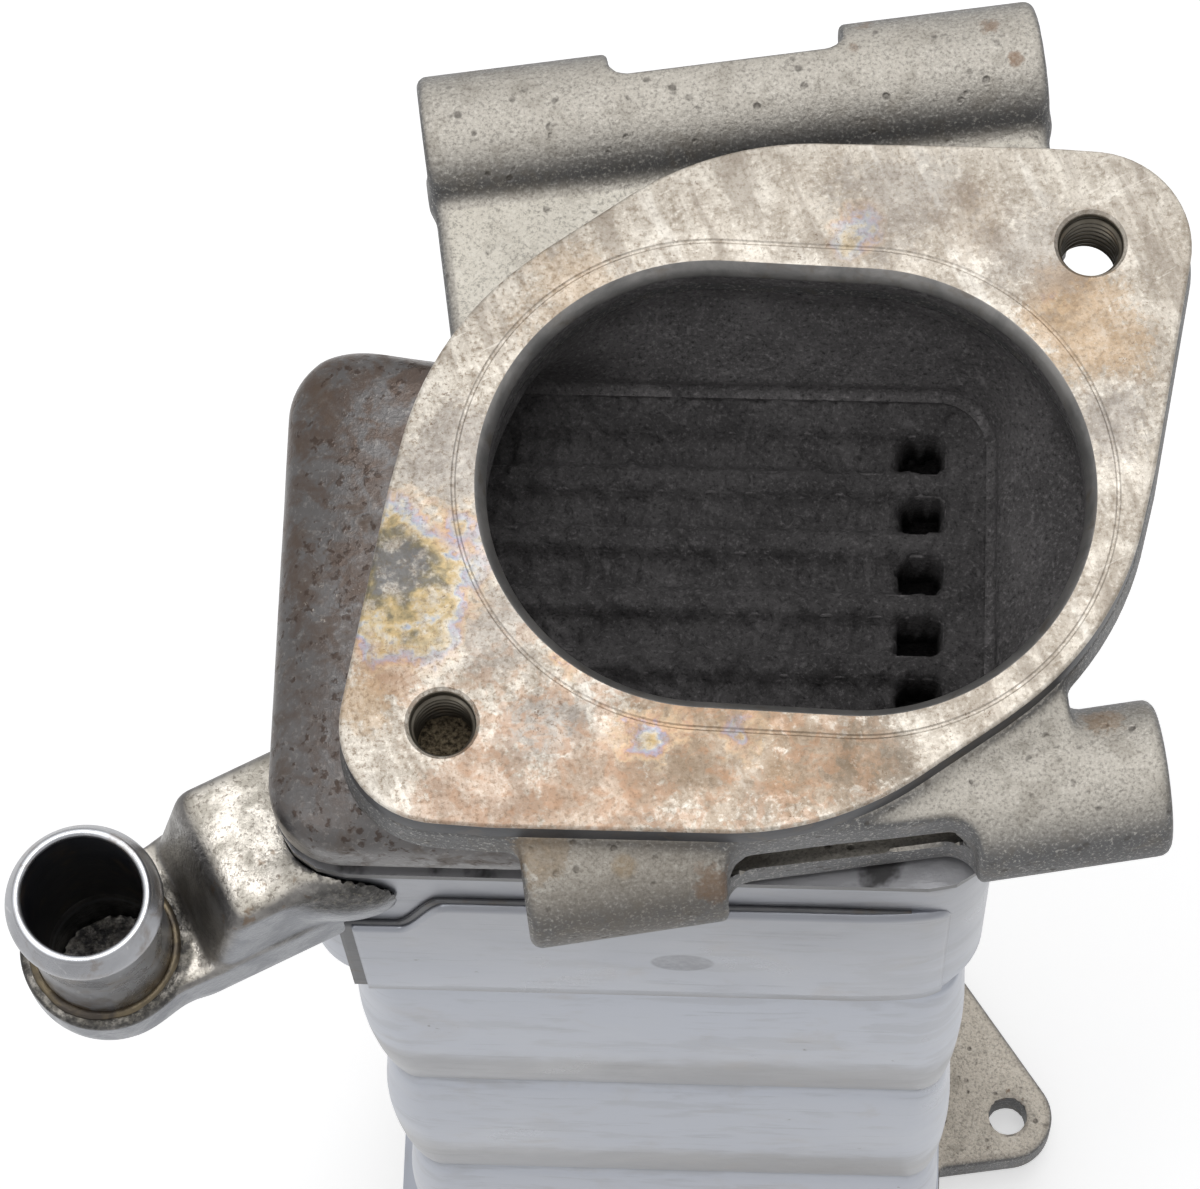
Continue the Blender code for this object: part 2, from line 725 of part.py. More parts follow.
def port_tool(name, port, flip):
    """The gas port with its chamfered mouth, and the recess that takes the tank's neck."""
    edge = PORT_CHAMFER
    seat = TANK_WALL + 4 * GAP
    recess = -FLANGE_DEPTH - GAP + TANK_NECK + GAP
    steps = [(edge, edge), (0.0, edge), (-edge, 0.0), (recess, 0.0), (recess, seat),
             (-FLANGE_DEPTH - 2 * TANK_WALL, seat)]
    rings = [level(port_outline(port, grow), facing(z, flip)) for z, grow in steps]
    return loft(name, rings)


def hole_tool(name, x, y, radius, chamfer, depth, flip):
    """A round hole from the face down, with a chamfered mouth."""
    steps = [(chamfer, radius + chamfer), (0.0, radius + chamfer), (-chamfer, radius),
             (-depth, radius)]
    rings = []
    for z, r in steps:
        circle = [(x + r * math.cos(2 * math.pi * k / ROUND_STEPS),
                   y + r * math.sin(2 * math.pi * k / ROUND_STEPS)) for k in range(ROUND_STEPS)]
        rings.append(level(circle, facing(z, flip)))
    return loft(name, rings)


def bolt_tools(prefix, flip, seat):
    tools = []
    for side in (1, -1):
        name = "%s_bolt_hole_%d" % (prefix, (3 - side) // 2)
        tools.append(place(hole_tool(name, FLANGE_X + side * BOLT_X, FLANGE_Y + side * BOLT_Y,
                                     BOLT_HOLE_RADIUS, BOLT_CHAMFER, 2 * FLANGE_DEPTH, flip), seat))
    return tools


def tank_envelope(name):
    """Room for the tank and header plate, cut out of the casting that hugs them."""
    shoulder = tank_rings(INLET, 1.8 * GAP, 0.9 * GAP)[:-2]
    foot = level(tank_outline(INLET, GAP), HEADER_TOP - COLLAR_HEIGHT / 2)
    return loft(name, mirrored(shoulder + [foot], False))


def front_axis(x):
    """A point on the front bar's axis, which runs a little closer to the flange on the right."""
    share = (x - FRONT_BAR_LEFT) / (FRONT_BAR_RIGHT - FRONT_BAR_LEFT)
    return (x, FRONT_BAR_LEFT_Y + (FRONT_BAR_RIGHT_Y - FRONT_BAR_LEFT_Y) * share, FRONT_BAR_Z)


def make_inlet_casting(root, material):
    """Flange, rear bar on its web, and front bar against the flange, cast as one."""
    seat = make_seat("inlet_seat", (PORT_X, PORT_Y, HEIGHT), CLOCK, root)
    casting = place(flange_solid("inlet_casting", False, material), seat)
    rear_bar = rod("rear_bar", BAR_RADIUS, (BAR_LEFT, BAR_Y, BAR_Z), (BAR_RIGHT, BAR_Y, BAR_Z),
                   rounding=CAST_ROUNDING)
    rear_web = block("rear_web", (BAR_LEFT + GAP, 0.55 * BAR_Y, WEB_TOP - WEB_THICKNESS),
                     (BAR_RIGHT - GAP, BAR_Y, WEB_TOP), CAST_ROUNDING)
    front_bar = rod("front_bar", FRONT_BAR_RADIUS, front_axis(FRONT_BAR_LEFT),
                    front_axis(FRONT_BAR_RIGHT), rounding=CAST_ROUNDING)
    web_top = FRONT_BAR_Z + FRONT_BAR_RADIUS - GAP
    front_web = block("front_web", (FRONT_BAR_LEFT + GAP, FRONT_BAR_RIGHT_Y, FRONT_BAR_Z - GAP),
                      (FRONT_WEB_RIGHT, -PORT_RADIUS, web_top), CAST_ROUNDING)
    reach = 3 * BAR_RADIUS
    rear_waist = plate("rear_waist", [rounded_polygon(
        [(BAR_WAIST_LEFT, BAR_Y + BAR_RADIUS - BAR_WAIST_DEPTH),
         (BAR_WAIST_RIGHT, BAR_Y + BAR_RADIUS - BAR_WAIST_DEPTH),
         (BAR_WAIST_RIGHT, BAR_Y + reach), (BAR_WAIST_LEFT, BAR_Y + reach)],
        [BAR_WAIST_CORNER, BAR_WAIST_CORNER, MM, MM], 3)], BAR_Z - reach, BAR_Z + reach)
    window = plate("front_window", [rounded_polygon(
        [(WINDOW_LEFT, WINDOW_Y - reach), (WINDOW_RIGHT, WINDOW_Y - reach),
         (WINDOW_RIGHT, WINDOW_Y), (WINDOW_LEFT, WINDOW_Y)],
        [MM, MM, WINDOW_CORNER, WINDOW_CORNER], 3)], FRONT_BAR_Z - reach, FRONT_BAR_Z + reach)
    rear_bore = rod("rear_bore", BAR_BORE_RADIUS, (BAR_LEFT - reach, BAR_Y, BAR_Z),
                    (BAR_RIGHT + reach, BAR_Y, BAR_Z), steps=ROUND_STEPS // 2)
    front_bore = rod("front_bore", FRONT_BORE_RADIUS, front_axis(FRONT_BORE_LEFT),
                     front_axis(FRONT_BAR_RIGHT + reach), steps=ROUND_STEPS // 2)
    port = port_tool("inlet_port", INLET, False)
    shapes = [rear_bar, rear_web, front_bar, front_web]
    tools = [port, rear_waist, window, rear_bore, front_bore]
    for piece in shapes + tools:
        place(piece, seat)
    join(casting, *shapes)
    cut(casting, *tools, tank_envelope("tank_room"), *bolt_tools("inlet", False, seat))
    return shade_round(casting)


def ear_outline():
    """Three-cornered ear whose nose is an arc about its hole, with its root under the flange."""
    front = EAR_HOLE_Y - EAR_CORNER
    normal = Vector((math.sin(EAR_BACK_ANGLE), -math.cos(EAR_BACK_ANGLE)))
    nose_x = EAR_HOLE_X + (EAR_CORNER + EAR_CORNER * normal.y) / normal.x
    nose = Vector((nose_x, front))
    back = nose + EAR_BACK_LENGTH * Vector((math.cos(EAR_BACK_ANGLE), math.sin(EAR_BACK_ANGLE)))
    corners = [(0.0, front), tuple(nose), tuple(back), (0.0, back.y)]
    return corners, [EAR_CORNER / 4, EAR_CORNER, EAR_CORNER / 2, EAR_CORNER / 4]


def make_outlet_casting(root, material):
    """Flange turned across the inlet's, with the ear on the right, clocked as the inlet is."""
    seat = make_seat("outlet_seat", (OUTLET_PORT_X, OUTLET_PORT_Y, 0), OUTLET_CLOCK, root)
    ear_seat = make_seat("ear_seat", (PORT_X, PORT_Y, 0), CLOCK, root)
    casting = place(flange_solid("outlet_casting", True, material), seat)
    corners, radii = ear_outline()
    foot, top = GAP, FLANGE_DEPTH - GAP
    soft = 0.3 * EAR_EDGE_ROUNDING
    steps = [(foot, -soft), (foot + soft, 0.0), (top - EAR_EDGE_ROUNDING, 0.0),
             (top - soft, -soft), (top, -EAR_EDGE_ROUNDING)]
    ear = loft("ear", [level(outline_of(corners, radii, grow), z) for z, grow in steps])
    ear_hole = hole_tool("ear_hole", EAR_HOLE_X, EAR_HOLE_Y, EAR_HOLE_RADIUS, BOLT_CHAMFER,
                         2 * FLANGE_DEPTH, True)
    place(ear, ear_seat)
    place(ear_hole, ear_seat)
    port = place(port_tool("outlet_port", OUTLET, True), seat)
    join(casting, ear)
    cut(casting, port, ear_hole, *bolt_tools("outlet", True, seat))
    return shade_round(casting)


def circle_ring(radius, z):
    angles = [2 * math.pi * (k + 0.5) / ROUND_STEPS for k in range(ROUND_STEPS)]
    return [(radius * math.cos(angle), radius * math.sin(angle), z) for angle in angles]


def elbow_section(x, top, corner):
    """Flat rounded top, upright sides and a hollowed-out keel, seen along the arm."""
    width = ELBOW_HALF_WIDTH
    keel = ELBOW_TOP - 0.3 * ELBOW_DEPTH
    ring = []
    for step in range(4):
        angle = math.pi / 2 * step / 3
        ring.append((x, width - corner + corner * math.sin(angle),
                     top - corner + corner * math.cos(angle)))
    for step in range(9):
        angle = math.pi * step / 8
        ring.append((x, width * math.cos(angle),
                     keel - 0.67 * ELBOW_DEPTH * math.sin(angle) ** 0.8))
    for step in range(4):
        angle = math.pi / 2 * (1 - step / 3)
        ring.append((x, -width + corner - corner * math.sin(angle),
                     top - corner + corner * math.cos(angle)))
    return ring


def make_elbow(root, material):
    """Coolant inlet: a round socket, an arm and a taller block that hugs the collar's corner."""
    seat = make_seat("elbow_seat", (SPIGOT_X, SPIGOT_Y, HEIGHT), ELBOW_ANGLE, root)
    end_radius = SPIGOT_RADIUS + SOCKET_WALL
    floor = ELBOW_TOP - ELBOW_DEPTH
    bowl = [circle_ring(end_radius - SOCKET_EDGE, ELBOW_TOP),
            circle_ring(end_radius, ELBOW_TOP - SOCKET_EDGE)]
    for step in range(7):
        angle = math.pi / 2 * step / 7
        bowl.append(circle_ring(end_radius * math.cos(angle) ** 0.8,
                                floor + 0.75 * ELBOW_DEPTH * (1 - math.sin(angle))))
    elbow = place(loft("coolant_elbow", bowl, material), seat)
    length = (-COLLAR_LEFT - SPIGOT_X) / math.cos(ELBOW_ANGLE) + ELBOW_HALF_WIDTH
    brow = ELBOW_BLOCK_START + ELBOW_BLOCK_SLOPE
    arm = loft("elbow_arm", [
        elbow_section(0.0, ELBOW_TOP - GAP, ELBOW_CORNER),
        elbow_section(ELBOW_BLOCK_START, ELBOW_TOP - GAP, ELBOW_CORNER),
        elbow_section(brow, ELBOW_BLOCK_TOP - ELBOW_BLOCK_CORNER / 2, ELBOW_BLOCK_CORNER),
        elbow_section(brow + 2 * MM, ELBOW_BLOCK_TOP, ELBOW_BLOCK_CORNER),
        elbow_section(length, ELBOW_BLOCK_TOP, ELBOW_BLOCK_CORNER)])
    place(arm, seat)
    socket_foot = ELBOW_TOP - SOCKET_DEPTH
    passage_z = ELBOW_TOP - 0.48 * ELBOW_DEPTH
    socket = loft("elbow_socket", [circle_ring(SPIGOT_RADIUS + GAP, ELBOW_TOP + ELBOW_DEPTH),
                                   circle_ring(SPIGOT_RADIUS + GAP, socket_foot)])
    well_radius = SPIGOT_RADIUS - SPIGOT_WALL - GAP
    well_floor = passage_z - ELBOW_PASSAGE_RADIUS - GAP
    well = loft("elbow_well", [circle_ring(well_radius, socket_foot + MM),
                               circle_ring(well_radius, well_floor)])
    passage = rod("elbow_passage", ELBOW_PASSAGE_RADIUS, (0, 0, passage_z),
                  (2 * length, 0, passage_z), steps=ROUND_STEPS // 2)
    room = box_outline(COLLAR_LEFT, COLLAR_RIGHT, COLLAR_HALF_Y, COLLAR_CORNER, GAP)
    hug = loft("collar_room", mirrored([level(room, 0.0), level(room, COLLAR_FOOT)], False))
    for piece in (socket, well, passage):
        place(piece, seat)
    join(elbow, arm)
    cut(elbow, hug, socket, well, passage)
    return shade_round(elbow), passage, socket_foot


def spigot_profile(foot, top):
    """Closed wall of a hose spigot: plain tube, hose bead, and a lip at the mouth."""
    inner, outer = SPIGOT_RADIUS - SPIGOT_WALL, SPIGOT_RADIUS
    rise = [(1.0, 0.0), (0.85, 0.5), (0.67, 1.0), (0.45, 1.0), (0.21, 0.6)]
    bead = [(outer + SPIGOT_BEAD * swell, top - SPIGOT_BEAD_START * share) for share, swell in rise]
    lip = SPIGOT_WALL / 2
    return [(inner, foot), (outer, foot)] + bead + [
        (outer + 0.1 * SPIGOT_BEAD, top), (inner + lip, top), (inner, top - lip)]


def make_inlet_spigot(root, foot, material):
    seat = make_seat("spigot_seat", (SPIGOT_X, SPIGOT_Y, HEIGHT), 0.0, root)
    profile = spigot_profile(foot + GAP, ELBOW_TOP + SPIGOT_RISE)
    return shade_round(place(lathe("inlet_spigot", profile, material), seat))


def make_outlet_spigot(root, steel, cast):
    """Boss and tube on the collar's back wall, low down, turned to point away from the front."""
    seat = make_seat("outlet_spigot_seat", (OUTLET_SPIGOT_X, COLLAR_HALF_Y + GAP,
                                            -COLLAR_FOOT - COLLAR_HEIGHT / 2), 0.0, root)
    seat.rotation_euler = (-math.pi / 2, 0, 0)
    bore = SPIGOT_RADIUS - SPIGOT_WALL
    step = OUTLET_BOSS_LENGTH - SOCKET_DEPTH
    socket = SPIGOT_RADIUS + GAP
    ring = [(bore, 0.0), (OUTLET_BOSS_RADIUS, 0.0), (OUTLET_BOSS_RADIUS, OUTLET_BOSS_LENGTH - MM),
            (OUTLET_BOSS_RADIUS - MM, OUTLET_BOSS_LENGTH), (socket, OUTLET_BOSS_LENGTH),
            (socket, step), (bore, step)]
    shade_round(place(lathe("outlet_boss", ring, cast), seat))
    profile = spigot_profile(step + GAP, OUTLET_SPIGOT_LENGTH)
    shade_round(place(lathe("outlet_spigot", profile, steel), seat))
    tool = place(rod("outlet_collar_hole", bore, (0, 0, -OUTLET_BOSS_RADIUS),
                     (0, 0, OUTLET_BOSS_RADIUS), steps=ROUND_STEPS // 2), seat)
    return tool


def add_tongue(shell, root, top_of_shell):
    """The front sheet runs on over the collar as a tongue, lower at its left than its top."""
    top = TONGUE_HEIGHT
    step_x = TONGUE_LEFT + TONGUE_STEP_WIDTH
    shoulder = top - TONGUE_STEP_DROP
    soft = TONGUE_STEP_CORNER
    outline = rounded_polygon(
        [(TONGUE_LEFT, -TONGUE_ROOT), (TONGUE_RIGHT, -TONGUE_ROOT), (TONGUE_RIGHT, top),
         (step_x, top), (step_x - TONGUE_STEP_SLOPE, shoulder), (TONGUE_LEFT, shoulder)],
        [MM / 2, MM / 2, soft, soft, soft, MM], 3)
    tongue = plate("front_tongue", [outline], 0.0, TONGUE_WALL)
    step_in = COLLAR_HALF_Y + GAP - SHELL_HALF_Y
    joggle = block("front_joggle", (TONGUE_LEFT + MM, -TONGUE_ROOT - MM, -step_in - SHELL_WALL / 2),
                   (TONGUE_RIGHT - MM, -2 * GAP, TONGUE_WALL / 2))
    seat = make_seat("tongue_seat", (0, -(COLLAR_HALF_Y + GAP), top_of_shell), 0.0, root)
    seat.rotation_euler = (math.pi / 2, 0, 0)
    for piece in (tongue, joggle):
        place(piece, seat)
    join(shell, tongue, joggle)


def stand_on_origin(root):
    """Move the whole cooler so that its box stands centred on the origin."""
    bpy.context.view_layer.update()
    graph = bpy.context.evaluated_depsgraph_get()
    points = []
    for piece in PARTS.objects:
        if piece.type == "MESH":
            solid = piece.evaluated_get(graph)
            points += [solid.matrix_world @ vertex.co for vertex in solid.data.vertices]
    low = [min(point[axis] for point in points) for axis in range(3)]
    high = [max(point[axis] for point in points) for axis in range(3)]
    root.location = (-(low[0] + high[0]) / 2, -(low[1] + high[1]) / 2, -low[2])


def build():
    root = bpy.data.objects.new("cooler_root", None)
    PARTS.objects.link(root)
    cast = make_material("cast_steel", (0.42, 0.39, 0.34), 0.55)
    drawn = make_material("drawn_sheet", (0.20, 0.21, 0.24), 0.42)
    bright = make_material("bright_sheet", (0.60, 0.62, 0.66), 0.25)
    bronze = make_material("elbow_casting", (0.40, 0.37, 0.31), 0.35)
    sooty = make_material("sooty_steel", (0.03, 0.03, 0.03), 0.9, 0.2)
    tube_steel = make_material("spigot_steel", (0.42, 0.44, 0.48), 0.3)

    make_inlet_casting(root, cast)
    make_outlet_casting(root, cast)
    make_tank("inlet_tank", INLET, False, drawn)
    make_tank("outlet_tank", OUTLET, True, drawn)
    make_header("inlet_header_plate", False, sooty)
    make_header("outlet_header_plate", True, sooty)
    low, high = make_tubes(sooty)
    make_fins(low, high, sooty)
    inlet_collar = make_collar("inlet_collar", False, bright)
    outlet_collar = make_collar("outlet_collar", True, bright)
    elbow, passage, socket_foot = make_elbow(root, bronze)
    cut(inlet_collar, passage)
    make_inlet_spigot(root, socket_foot, tube_steel)
    cut(outlet_collar, make_outlet_spigot(root, tube_steel, bronze))
    low, high = make_shell(bright)
    add_tongue(PARTS.objects["shell_front"], root, high)
    for piece in list(PARTS.objects) + list(CUTTERS.objects):
        if piece.parent is None and piece is not root:
            piece.parent = root
    stand_on_origin(root)


clear_scene()
PARTS = make_collection("egr_cooler")
CUTTERS = make_collection("cutters")
build()
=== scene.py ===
"""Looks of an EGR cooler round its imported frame: cast ends, drawn tanks, ribbed shell, elbow."""
import math

import bmesh
import bpy
import numpy as np
from mathutils import Matrix, Vector


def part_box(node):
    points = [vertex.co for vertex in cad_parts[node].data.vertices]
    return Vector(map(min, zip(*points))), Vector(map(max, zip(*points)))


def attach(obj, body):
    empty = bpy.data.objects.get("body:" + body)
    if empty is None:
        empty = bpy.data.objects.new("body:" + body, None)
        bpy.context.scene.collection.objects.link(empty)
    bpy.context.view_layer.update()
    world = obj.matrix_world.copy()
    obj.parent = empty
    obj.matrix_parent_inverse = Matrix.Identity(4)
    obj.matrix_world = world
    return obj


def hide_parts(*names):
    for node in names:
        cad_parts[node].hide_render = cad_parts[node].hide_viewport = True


bl_info = {
    "name": "EGR Cooler Looks",
    "version": (1, 0, 0),
    "blender": (4, 5, 0),
    "location": "3D View > Sidebar > Cooler",
    "description": "Dresses an exhaust gas recirculation cooler in cast, drawn and sooty steel",
    "category": "Object",
}

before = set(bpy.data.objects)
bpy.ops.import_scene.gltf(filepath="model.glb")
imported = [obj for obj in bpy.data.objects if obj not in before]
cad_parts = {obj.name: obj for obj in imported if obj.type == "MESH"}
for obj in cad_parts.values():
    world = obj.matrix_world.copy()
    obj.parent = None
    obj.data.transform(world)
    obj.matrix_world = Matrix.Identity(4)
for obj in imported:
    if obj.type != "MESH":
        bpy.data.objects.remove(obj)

# ---------------------------------------------------------------- sizes of the cooler, in mm
TOP = 330.0
SPIGOT_X, SPIGOT_Y = -69.0, -36.6
FLANGE_DEPTH, FLANGE_BAND, DRAFT, DRAFT_FALL = 9.7, 4.0, 0.6, 5.7
FLANGE_X, FLANGE_Y = -1.6, 0.85
BOLT_X, BOLT_Y, LOBE_RADIUS = 42.3, 24.9, 12.2
BOLT_RADIUS, BOLT_CHAMFER = 4.05, 0.4
BOLT_SPOTS = [(FLANGE_X + side * BOLT_X, FLANGE_Y + side * BOLT_Y) for side in (1, -1)]
THREAD_TOP, THREAD_FOOT, THREAD_RADIUS, THREAD_DEPTH, THREAD_WALL = -0.7, -9.5, 3.98, 0.55, 4.2
BROAD_X, BROAD_Y, BROAD_RADIUS = 5.6, 2.9, 40.0
REAR_BAR, REAR_RADIUS, REAR_BORE = ((-37.9, 53.7, -10.5), (39.3, 53.7, -10.5)), 8.7, 4.4
FRONT_BAR, FRONT_RADIUS, FRONT_BORE = ((-36.9, -39.1, -14.9), (40.4, -37.4, -14.9)), 9.4, 4.2
FRONT_LENGTH, FRONT_RISE = 77.3, 1.7
EAR_X, EAR_Y, EAR_RADIUS, EAR_HOLE, EAR_LEAN = 39.9, -9.3, 7.8, 3.3, math.radians(116.7)
INLET = {"x": 14.8, "y": 10.4, "clock": math.radians(9), "turn": math.radians(-11),
         "straight": 8.8, "radius": 27.5, "slant": -16.0, "flip": False}
OUTLET = {"x": 0.0, "y": 3.4, "clock": math.radians(99), "turn": 0.0,
          "straight": 0.0, "radius": 26.0, "slant": None, "flip": True}
ENDS = ((INLET, "inlet"), (OUTLET, "outlet"))
TANK_LEFT, TANK_RIGHT, TANK_HALF_Y, TANK_CORNER = 46.6, 42.2, 32.2, 9.0
TANK_TOP, TANK_LIP, TANK_DEPTH, TANK_WALL, TANK_TUCK = -10.0, 10.6, 14.4, 1.4, 1.3
BROW_WIDTH, BROW_POWER, RAMP_DROP = 8.0, 0.55, 9.8
COLLAR_LEFT, COLLAR_RIGHT, COLLAR_HALF_Y, COLLAR_CORNER, COLLAR_WALL = 46.0, 41.6, 31.6, 8.5, 1.5
COLLAR_TOP, COLLAR_FOOT, COLLAR_RIM, COLLAR_SHELF, COLLAR_STEP = -26.5, -78.5, 1.8, 4.2, 3.6
SHELL_HALF_X, SHELL_HALF_Y, SHELL_CORNER, SHELL_WALL = 38.5, 31.0, 3.5, 1.2
RIB_LEFT, RIB_RIGHT, RIB_FRONT, RIB_CORNER, RIB_COUNT = 3.4, 1.8, 2.2, 7.0, 3
SHELL_TOP, SHELL_FOOT = -78.8, -251.2
TONGUE_LEFT, TONGUE_RIGHT, TONGUE_TOP, TONGUE_FOOT, TONGUE_WALL = -38.5, 36.5, -37.2, -79.3, 0.8
TUBE_COUNT, TUBE_PITCH, TUBE_STACK_Y = 6, 7.9, 3.45
TUBE_HALF_X, TUBE_HALF_Y, TUBE_CORNER, TUBE_WALL = 35.0, 2.9, 1.8, 0.5
SPIGOT_RADIUS, SPIGOT_WALL, SPIGOT_BEAD, SPIGOT_LIP = 8.6, 1.2, 1.1, 0.6
ELBOW_ANGLE, ELBOW_TOP, ELBOW_HALF_WIDTH = math.radians(28), -45.0, 9.6
LATHE_STEPS = 96
TURN = 2 * math.pi

_low, _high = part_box("inlet_spigot")
BODY_X = (_low.x + _high.x) * 500.0 - SPIGOT_X
BODY_Y = (_low.y + _high.y) * 500.0 - SPIGOT_Y


def length_prop(name, description, default, low, high):
    return bpy.props.FloatProperty(name=name, description=description, default=default,
                                   min=low, max=high, unit="LENGTH")


def color_prop(name, description, default):
    return bpy.props.FloatVectorProperty(name=name, description=description, default=default,
                                         subtype="COLOR", size=3, min=0, max=1)


class CoolerLooks(bpy.types.PropertyGroup):
    """Sizes and colours of the cooler that a user may change before its pieces are made."""
    skin_step: length_prop("Cast skin step", "Grid step of the cast skins", 0.0007, 0.0004, 0.003)
    cast_fillet: length_prop("Cast fillet", "Blend between bars, webs and flange", 0.0019,
                             0.0005, 0.008)
    thread_pitch: length_prop("Thread pitch", "Pitch of the flange bolt threads", 0.00125,
                              0.0005, 0.003)
    cast_color: color_prop("Cast steel", "Sandy skin of the castings", (0.52, 0.485, 0.43))
    face_color: color_prop("Machined face", "Brushed sealing face of the flanges",
                           (0.61, 0.54, 0.455))
    tank_color: color_prop("Drawn tank", "Dark skin of the gas tanks", (0.098, 0.093, 0.092))
    shell_color: color_prop("Stainless shell", "Pale blue grey shell and collars",
                            (0.385, 0.405, 0.455))
    elbow_color: color_prop("Elbow", "Bronze grey cast elbow", (0.36, 0.335, 0.29))
    spigot_color: color_prop("Spigots", "Plain steel hose spigots", (0.36, 0.365, 0.385))
    soot_color: color_prop("Soot", "Dry soot on the gas side", (0.082, 0.078, 0.079))
    rust_color: color_prop("Rust", "Rust spots and brown stains", (0.17, 0.095, 0.045))
    braze_color: color_prop("Braze", "Golden brown brazed fillets", (0.15, 0.12, 0.075))


# ---------------------------------------------------------------- meshes
def to_world(points, seat=None, flip=False):
    """Millimetres to metres: turn by the seat's clock about its axis, then down from the top
    face or up from the floor, then onto the frame."""
    x, y, z = np.asarray(points, float).reshape(-1, 3).T
    if seat is not None:
        c, s = math.cos(seat["clock"]), math.sin(seat["clock"])
        x, y = seat["x"] + c * x - s * y, seat["y"] + s * x + c * y
    z = -z if flip else TOP + z
    return np.stack([x + BODY_X, y + BODY_Y, z], axis=1) * 0.001


def finish_piece(name, mesh, material, nodes=(), angle=35):
    """Object at the origin with smooth shading up to an angle and its place in the frame."""
    looks = np.zeros(len(mesh.polygons), np.int32)
    mesh.polygons.foreach_get("material_index", looks)
    mesh.shade_smooth()
    mesh.set_sharp_from_angle(angle=math.radians(angle))
    piece = bpy.data.objects.new(name, mesh)
    bpy.context.scene.collection.objects.link(piece)
    mesh.materials.clear()
    mesh.materials.append(material)
    mesh.polygons.foreach_set("material_index", looks)
    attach(piece, "root")
    if nodes:
        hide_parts(*nodes)
    return piece


def make_piece(name, solid, look, nodes=(), angle=35):
    """Piece from arrays of points and faces, in one finish, standing for its nodes."""
    points, faces = solid
    mesh = bpy.data.meshes.new(name)
    count, sides = faces.shape
    mesh.vertices.add(len(points))
    mesh.vertices.foreach_set("co", np.asarray(points, np.float32).ravel())
    mesh.loops.add(faces.size)
    mesh.loops.foreach_set("vertex_index", faces.astype(np.int32).ravel())
    mesh.polygons.add(count)
    mesh.polygons.foreach_set("loop_start", np.arange(0, faces.size, sides, dtype=np.int32))
    mesh.update(calc_edges=True)
    mesh.validate()
    return finish_piece(name, mesh, finish(look), nodes, angle)


def second_look(piece, look, columns, first_row):
    """Give the faces of a ring solid from one row on another finish."""
    piece.data.materials.append(finish(look))
    row = np.arange(len(piece.data.polygons)) // columns
    piece.data.polygons.foreach_set("material_index", (row >= first_row).astype(np.int32))


def grid_faces(rows, columns, wrap_rows=False, wrap_columns=True):
    """Quads of a grid of rows, which may close on each other and on themselves."""
    row = np.arange(rows if wrap_rows else rows - 1)[:, None]
    column = np.arange(columns if wrap_columns else columns - 1)[None, :]
    below, beside = (row + 1) % rows, (column + 1) % columns
    faces = np.stack([row * columns + column, row * columns + beside,
                      below * columns + beside, below * columns + column], axis=-1)
    return faces.reshape(-1, 4)


def outward(points, faces):
    """Turn every face round when the skin's signed volume is below zero."""
    a, b, c, d = (points[faces[:, k]] - points.mean(axis=0) for k in range(4))
    volume = np.einsum("ij,ij->i", a, np.cross(b, c) + np.cross(c, d)).sum()
    return points, faces[:, ::-1] if volume < 0 else faces


def ring_solid(rings, seat=None, flip=False):
    """A closed ring: profile rows round a section, each row an equal loop of points."""
    rings = np.asarray(rings, float)
    return outward(to_world(rings, seat, flip), grid_faces(*rings.shape[:2], wrap_rows=True))


def around(steps):
    """Evenly spread directions of a whole turn."""
    return np.linspace(0, TURN, steps, endpoint=False)


def eased(share):
    """A share from 0 to 1 that starts and ends gently, s²(3 − 2s)."""
    return share * share * (3 - 2 * share)


def rounded_outline(corners, radii, grow=0.0, steps=12, side=10):
    """Convex outline: arcs about each corner's inner centre, r grown by the same distance as
    the sides, with evenly spread points along the straights."""
    corners = np.asarray(corners, float)
    count, arcs, points = len(corners), [], []
    for k, here in enumerate(corners):
        back, ahead = corners[k - 1] - here, corners[(k + 1) % count] - here
        back, ahead = back / np.hypot(*back), ahead / np.hypot(*ahead)
        half = math.acos(np.clip(back @ ahead, -1, 1)) / 2
        middle = back + ahead
        centre = here + middle / np.hypot(*middle) * radii[k] / math.sin(half)
        first = math.atan2(-back[0], back[1]) + math.pi
        turn = first + (math.pi - 2 * half) * np.linspace(0, 1, steps + 1)
        arcs.append(centre + (radii[k] + grow) * np.stack([np.cos(turn), np.sin(turn)], 1))
    share = np.linspace(0, 1, side + 1)[1:-1, None]
    for k, arc in enumerate(arcs):
        points += [arc, arc[-1] + (arcs[(k + 1) % count][0] - arc[-1]) * share]
    return np.concatenate(points)


def box_corners(left, right, half_y, y=0.0):
    return [(-left, y - half_y), (right, y - half_y), (right, y + half_y), (-left, y + half_y)]


def box_outline(left, right, half_y, corner, grow=0.0, steps=12, side=10):
    return rounded_outline(box_corners(left, right, half_y), [corner] * 4, grow, steps, side)


def level(outline, z):
    """An outline at one height."""
    return np.column_stack([outline, np.full(len(outline), float(z))])


def stadium_reach(seat, angle, grow=0.0):
    """Reach of the port from its axis: R/|sin| against its straights, s|cos| + root of
    (R² − s² sin²) against its round ends."""
    turn = angle - seat["turn"]
    c, s = np.abs(np.cos(turn)), np.abs(np.sin(turn))
    radius, straight = seat["radius"] + grow, seat["straight"]
    ends = straight * c + np.sqrt(np.maximum(radius ** 2 - (straight * s) ** 2, 0))
    return np.where(s * straight > radius * c, radius / np.maximum(s, 1e-9), ends)


def port_outline(seat, grow, angles):
    reach = stadium_reach(seat, angles, grow)
    return np.stack([reach * np.cos(angles), reach * np.sin(angles)], axis=1)


def outline_reach(outline, angle):
    """Reach of an outline round the origin along each direction."""
    turn = np.arctan2(outline[:, 1], outline[:, 0])
    return np.interp(angle, turn, np.hypot(*outline.T), period=TURN)


